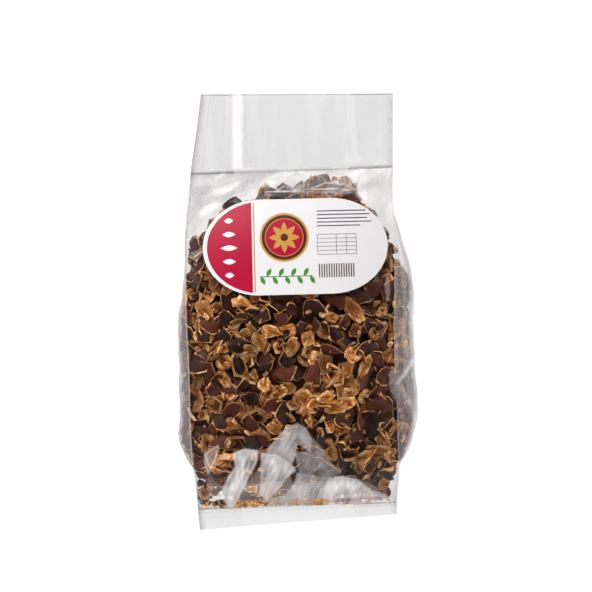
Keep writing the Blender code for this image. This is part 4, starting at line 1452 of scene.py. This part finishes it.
def print_shapes(label):
    """The figures of the print as (outline, colour, level)."""
    shapes = [(end_panel(), label.crimson, 0)]
    shapes.append((box(*PANEL_LINE), label.gold, 0))
    for i, half in enumerate(ALMOND_HALF_LENGTHS):
        x, y = ALMONDS_X - half, ALMONDS_Y - ALMONDS_STEP * i
        shapes.append((petal(x, y, 0, 2 * half, ALMOND_HALF_WIDTH), label.paper, 1))
    for level, (radius, ink) in enumerate(ROUNDEL_RINGS):
        shapes.append((disc(ROUNDEL_X, ROUNDEL_Y, radius), getattr(label, ink), level))
    for i in range(ROSETTE_PETALS):
        turn = math.tau * i / ROSETTE_PETALS
        outline = petal(ROUNDEL_X, ROUNDEL_Y, turn, PETAL_LENGTH, PETAL_HALF_WIDTH)
        shapes.append((outline, label.gold, 4))
    shapes.append((disc(ROUNDEL_X, ROUNDEL_Y, HUB_R, HUB_SIDES), label.cocoa, 5))
    for i in range(LEAVES):
        x = LEAVES_X + LEAVES_STEP * i
        turn = math.radians(LEAF_TURN_DEG if i % 2 else -LEAF_TURN_DEG)
        shapes.append((petal(x, LEAVES_Y, turn, LEAF_LENGTH, LEAF_HALF_WIDTH), label.leaf, 0))
    shapes.append((box(*STEM), label.leaf, 1))
    for i, length in enumerate(RULE_LENGTHS):
        y = RULES_Y - RULES_STEP * i
        shapes.append((box(RULES_X, y, RULES_X + length, y + RULE_THICK), label.grey, 0))
    for column in GRID_COLUMNS:
        left, right = GRID_X + column - GRID_HALF_LINE, GRID_X + column + GRID_HALF_LINE
        shapes.append((box(left, GRID_Y - GRID_HEIGHT, right, GRID_Y), label.grey, 0))
    for row in range(GRID_ROWS + 1):
        y = GRID_Y - GRID_HEIGHT * row / GRID_ROWS
        low, high = y - GRID_HALF_LINE, y + GRID_HALF_LINE
        shapes.append((box(GRID_X, low, GRID_X + GRID_WIDTH, high), label.grey, 1))
    for i in range(STRIPES):
        x = STRIPES_X + STRIPES_STEP * i
        outline = box(x, STRIPES_Y - STRIPE_HEIGHT, x + STRIPE_WIDTH, STRIPES_Y)
        shapes.append((outline, label.cocoa, 0))
    return shapes


def print_mesh(label):
    """Every figure of the print, cut small enough to follow the label's curve."""
    bm = bmesh.new()
    layer = bm.verts.layers.float_color.new("ink")
    for outline, colour, level in print_shapes(label):
        part = bmesh.new()
        part.faces.new([part.verts.new((p.x, p.y, 0)) for p in outline])
        for axis in (Vector((1, 0, 0)), Vector((0, 1, 0))):
            for i in range(-CUTS, CUTS + 1):
                geometry = part.verts[:] + part.edges[:] + part.faces[:]
                place = axis * CUT_STEP * i
                bmesh.ops.bisect_plane(part, geom=geometry, plane_co=place, plane_no=axis)
        bmesh.ops.triangulate(part, faces=part.faces)
        lift = LABEL_LIFT + LABEL_THICK + INK_LIFT + INK_STEP * level
        copies = {}
        for vert in part.verts:
            copy = bm.verts.new(on_front(vert.co.xy, lift))
            copy[layer] = (*colour, 1)
            copies[vert] = copy
        for face in part.faces:
            bm.faces.new([copies[vert] for vert in face.verts])
        part.free()
    bm.normal_update()
    down = [face for face in bm.faces if face.normal.z < 0]
    bmesh.ops.reverse_faces(bm, faces=down)
    mesh = bpy.data.meshes.new("label_print")
    bm.to_mesh(mesh)
    bm.free()
    return mesh


def printing_ink():
    """Offset ink, in the colour that each figure carries."""
    material, tree, output = blank_material("printing_ink")
    ink = add_node(tree, "ShaderNodeAttribute", attribute_name="ink").outputs["Color"]
    shader = add_node(
        tree, "ShaderNodeBsdfPrincipled", {"Base Color": ink, "Roughness": 0.35}
    )
    tree.links.new(shader.outputs[0], output.inputs["Surface"])
    return material


class CAROB_OT_label(bpy.types.Operator):
    """Makes the printed label"""

    bl_idname = "carob_bag.label"
    bl_label = "Label"

    def execute(self, context):
        settings = context.scene.carob_label
        finished("label_sheet", label_sheet(), coated_paper(settings), ["label"])
        finished("label_print", print_mesh(settings), printing_ink(), ["label"])
        return {"FINISHED"}


def add_softbox(softbox):
    """A soft area light that looks at the bag's middle."""
    light = bpy.data.lights.new(softbox.name, "AREA")
    light.shape = "RECTANGLE"
    light.size, light.size_y = softbox.size
    light.energy = softbox.power
    lamp = bpy.data.objects.new(softbox.name, light)
    lamp.location = softbox.place
    sight = Vector((0, 0, BAG_MIDDLE)) - Vector(softbox.place)
    lamp.rotation_euler = sight.to_track_quat("-Z", "Y").to_euler()
    lamp.visible_glossy = softbox.glossy
    bpy.context.scene.collection.objects.link(lamp)


def studio_world():
    """White walls round the studio under a darker ceiling, so the film stays clear from above."""
    world = bpy.data.worlds.new("studio")
    world.use_nodes = True
    tree = world.node_tree
    back = tree.nodes["Background"]
    place = add_node(tree, "ShaderNodeTexCoord").outputs["Generated"]
    up = add_node(tree, "ShaderNodeSeparateXYZ", {0: place}).outputs["Z"]
    strength = add_node(
        tree, "ShaderNodeMapRange",
        {"Value": up, "From Min": 0.3, "From Max": 0.85, "To Min": 0.22, "To Max": 0.02},
    ).outputs["Result"]
    tree.links.new(strength, back.inputs["Strength"])
    back.inputs["Color"].default_value = (1, 1, 1, 1)
    return world


class CAROB_OT_stage(bpy.types.Operator):
    """Makes the floor, the lights and the camera"""

    bl_idname = "carob_bag.stage"
    bl_label = "Studio"

    def execute(self, context):
        studio = context.scene.carob_studio
        bpy.ops.mesh.primitive_plane_add(size=FLOOR_SIZE, location=(0, 0, -FLOOR_DROP))
        floor = context.object
        floor.name = "floor"
        material, tree, output = blank_material("lit_acrylic")
        shader = add_node(
            tree, "ShaderNodeBsdfPrincipled",
            {
                "Base Color": (*studio.floor, 1), "Roughness": 0.9, "Specular IOR Level": 0.1,
                "Emission Color": (1, 1, 1, 1), "Emission Strength": 0.94,
            },
        )
        tree.links.new(shader.outputs[0], output.inputs["Surface"])
        floor.data.materials.append(material)
        context.scene.world = studio_world()
        for softbox in SOFTBOXES:
            add_softbox(softbox)
        camera = bpy.data.cameras.new("camera")
        camera.sensor_width = SENSOR_MM
        camera.lens = SENSOR_MM * (studio.camera_height - BAG_MIDDLE) / SEEN_WIDTH
        eye = bpy.data.objects.new("camera", camera)
        eye.location = (CAMERA_X, CAMERA_Y, studio.camera_height)
        context.scene.collection.objects.link(eye)
        context.scene.camera = eye
        context.scene.view_settings.view_transform = "Standard"
        context.scene.cycles.transparent_max_bounces = 48
        return {"FINISHED"}


class CAROB_PT_panel(bpy.types.Panel):
    """Lists the pieces of the bag in the sidebar"""

    bl_label = "Carob bag"
    bl_idname = "CAROB_PT_panel"
    bl_space_type = "VIEW_3D"
    bl_region_type = "UI"
    bl_category = "Carob bag"

    def draw(self, context):
        for operator in OPERATORS:
            self.layout.operator(operator.bl_idname)


OPERATORS = (CAROB_OT_film, CAROB_OT_pods, CAROB_OT_label, CAROB_OT_stage)
SETTINGS = {
    "carob_film": FilmSettings, "carob_pods": PodSettings, "carob_label": LabelSettings,
    "carob_studio": StudioSettings,
}


def register():
    for made in (*SETTINGS.values(), *OPERATORS, CAROB_PT_panel):
        bpy.utils.register_class(made)
    for name, settings in SETTINGS.items():
        setattr(bpy.types.Scene, name, bpy.props.PointerProperty(type=settings))


def unregister():
    for name in SETTINGS:
        delattr(bpy.types.Scene, name)
    for made in (CAROB_PT_panel, *OPERATORS, *SETTINGS.values()):
        bpy.utils.unregister_class(made)


def main():
    register()
    bpy.ops.carob_bag.film()
    bpy.ops.carob_bag.pods()
    bpy.ops.carob_bag.label()
    bpy.ops.carob_bag.stage()


if __name__ == "__main__":
    main()
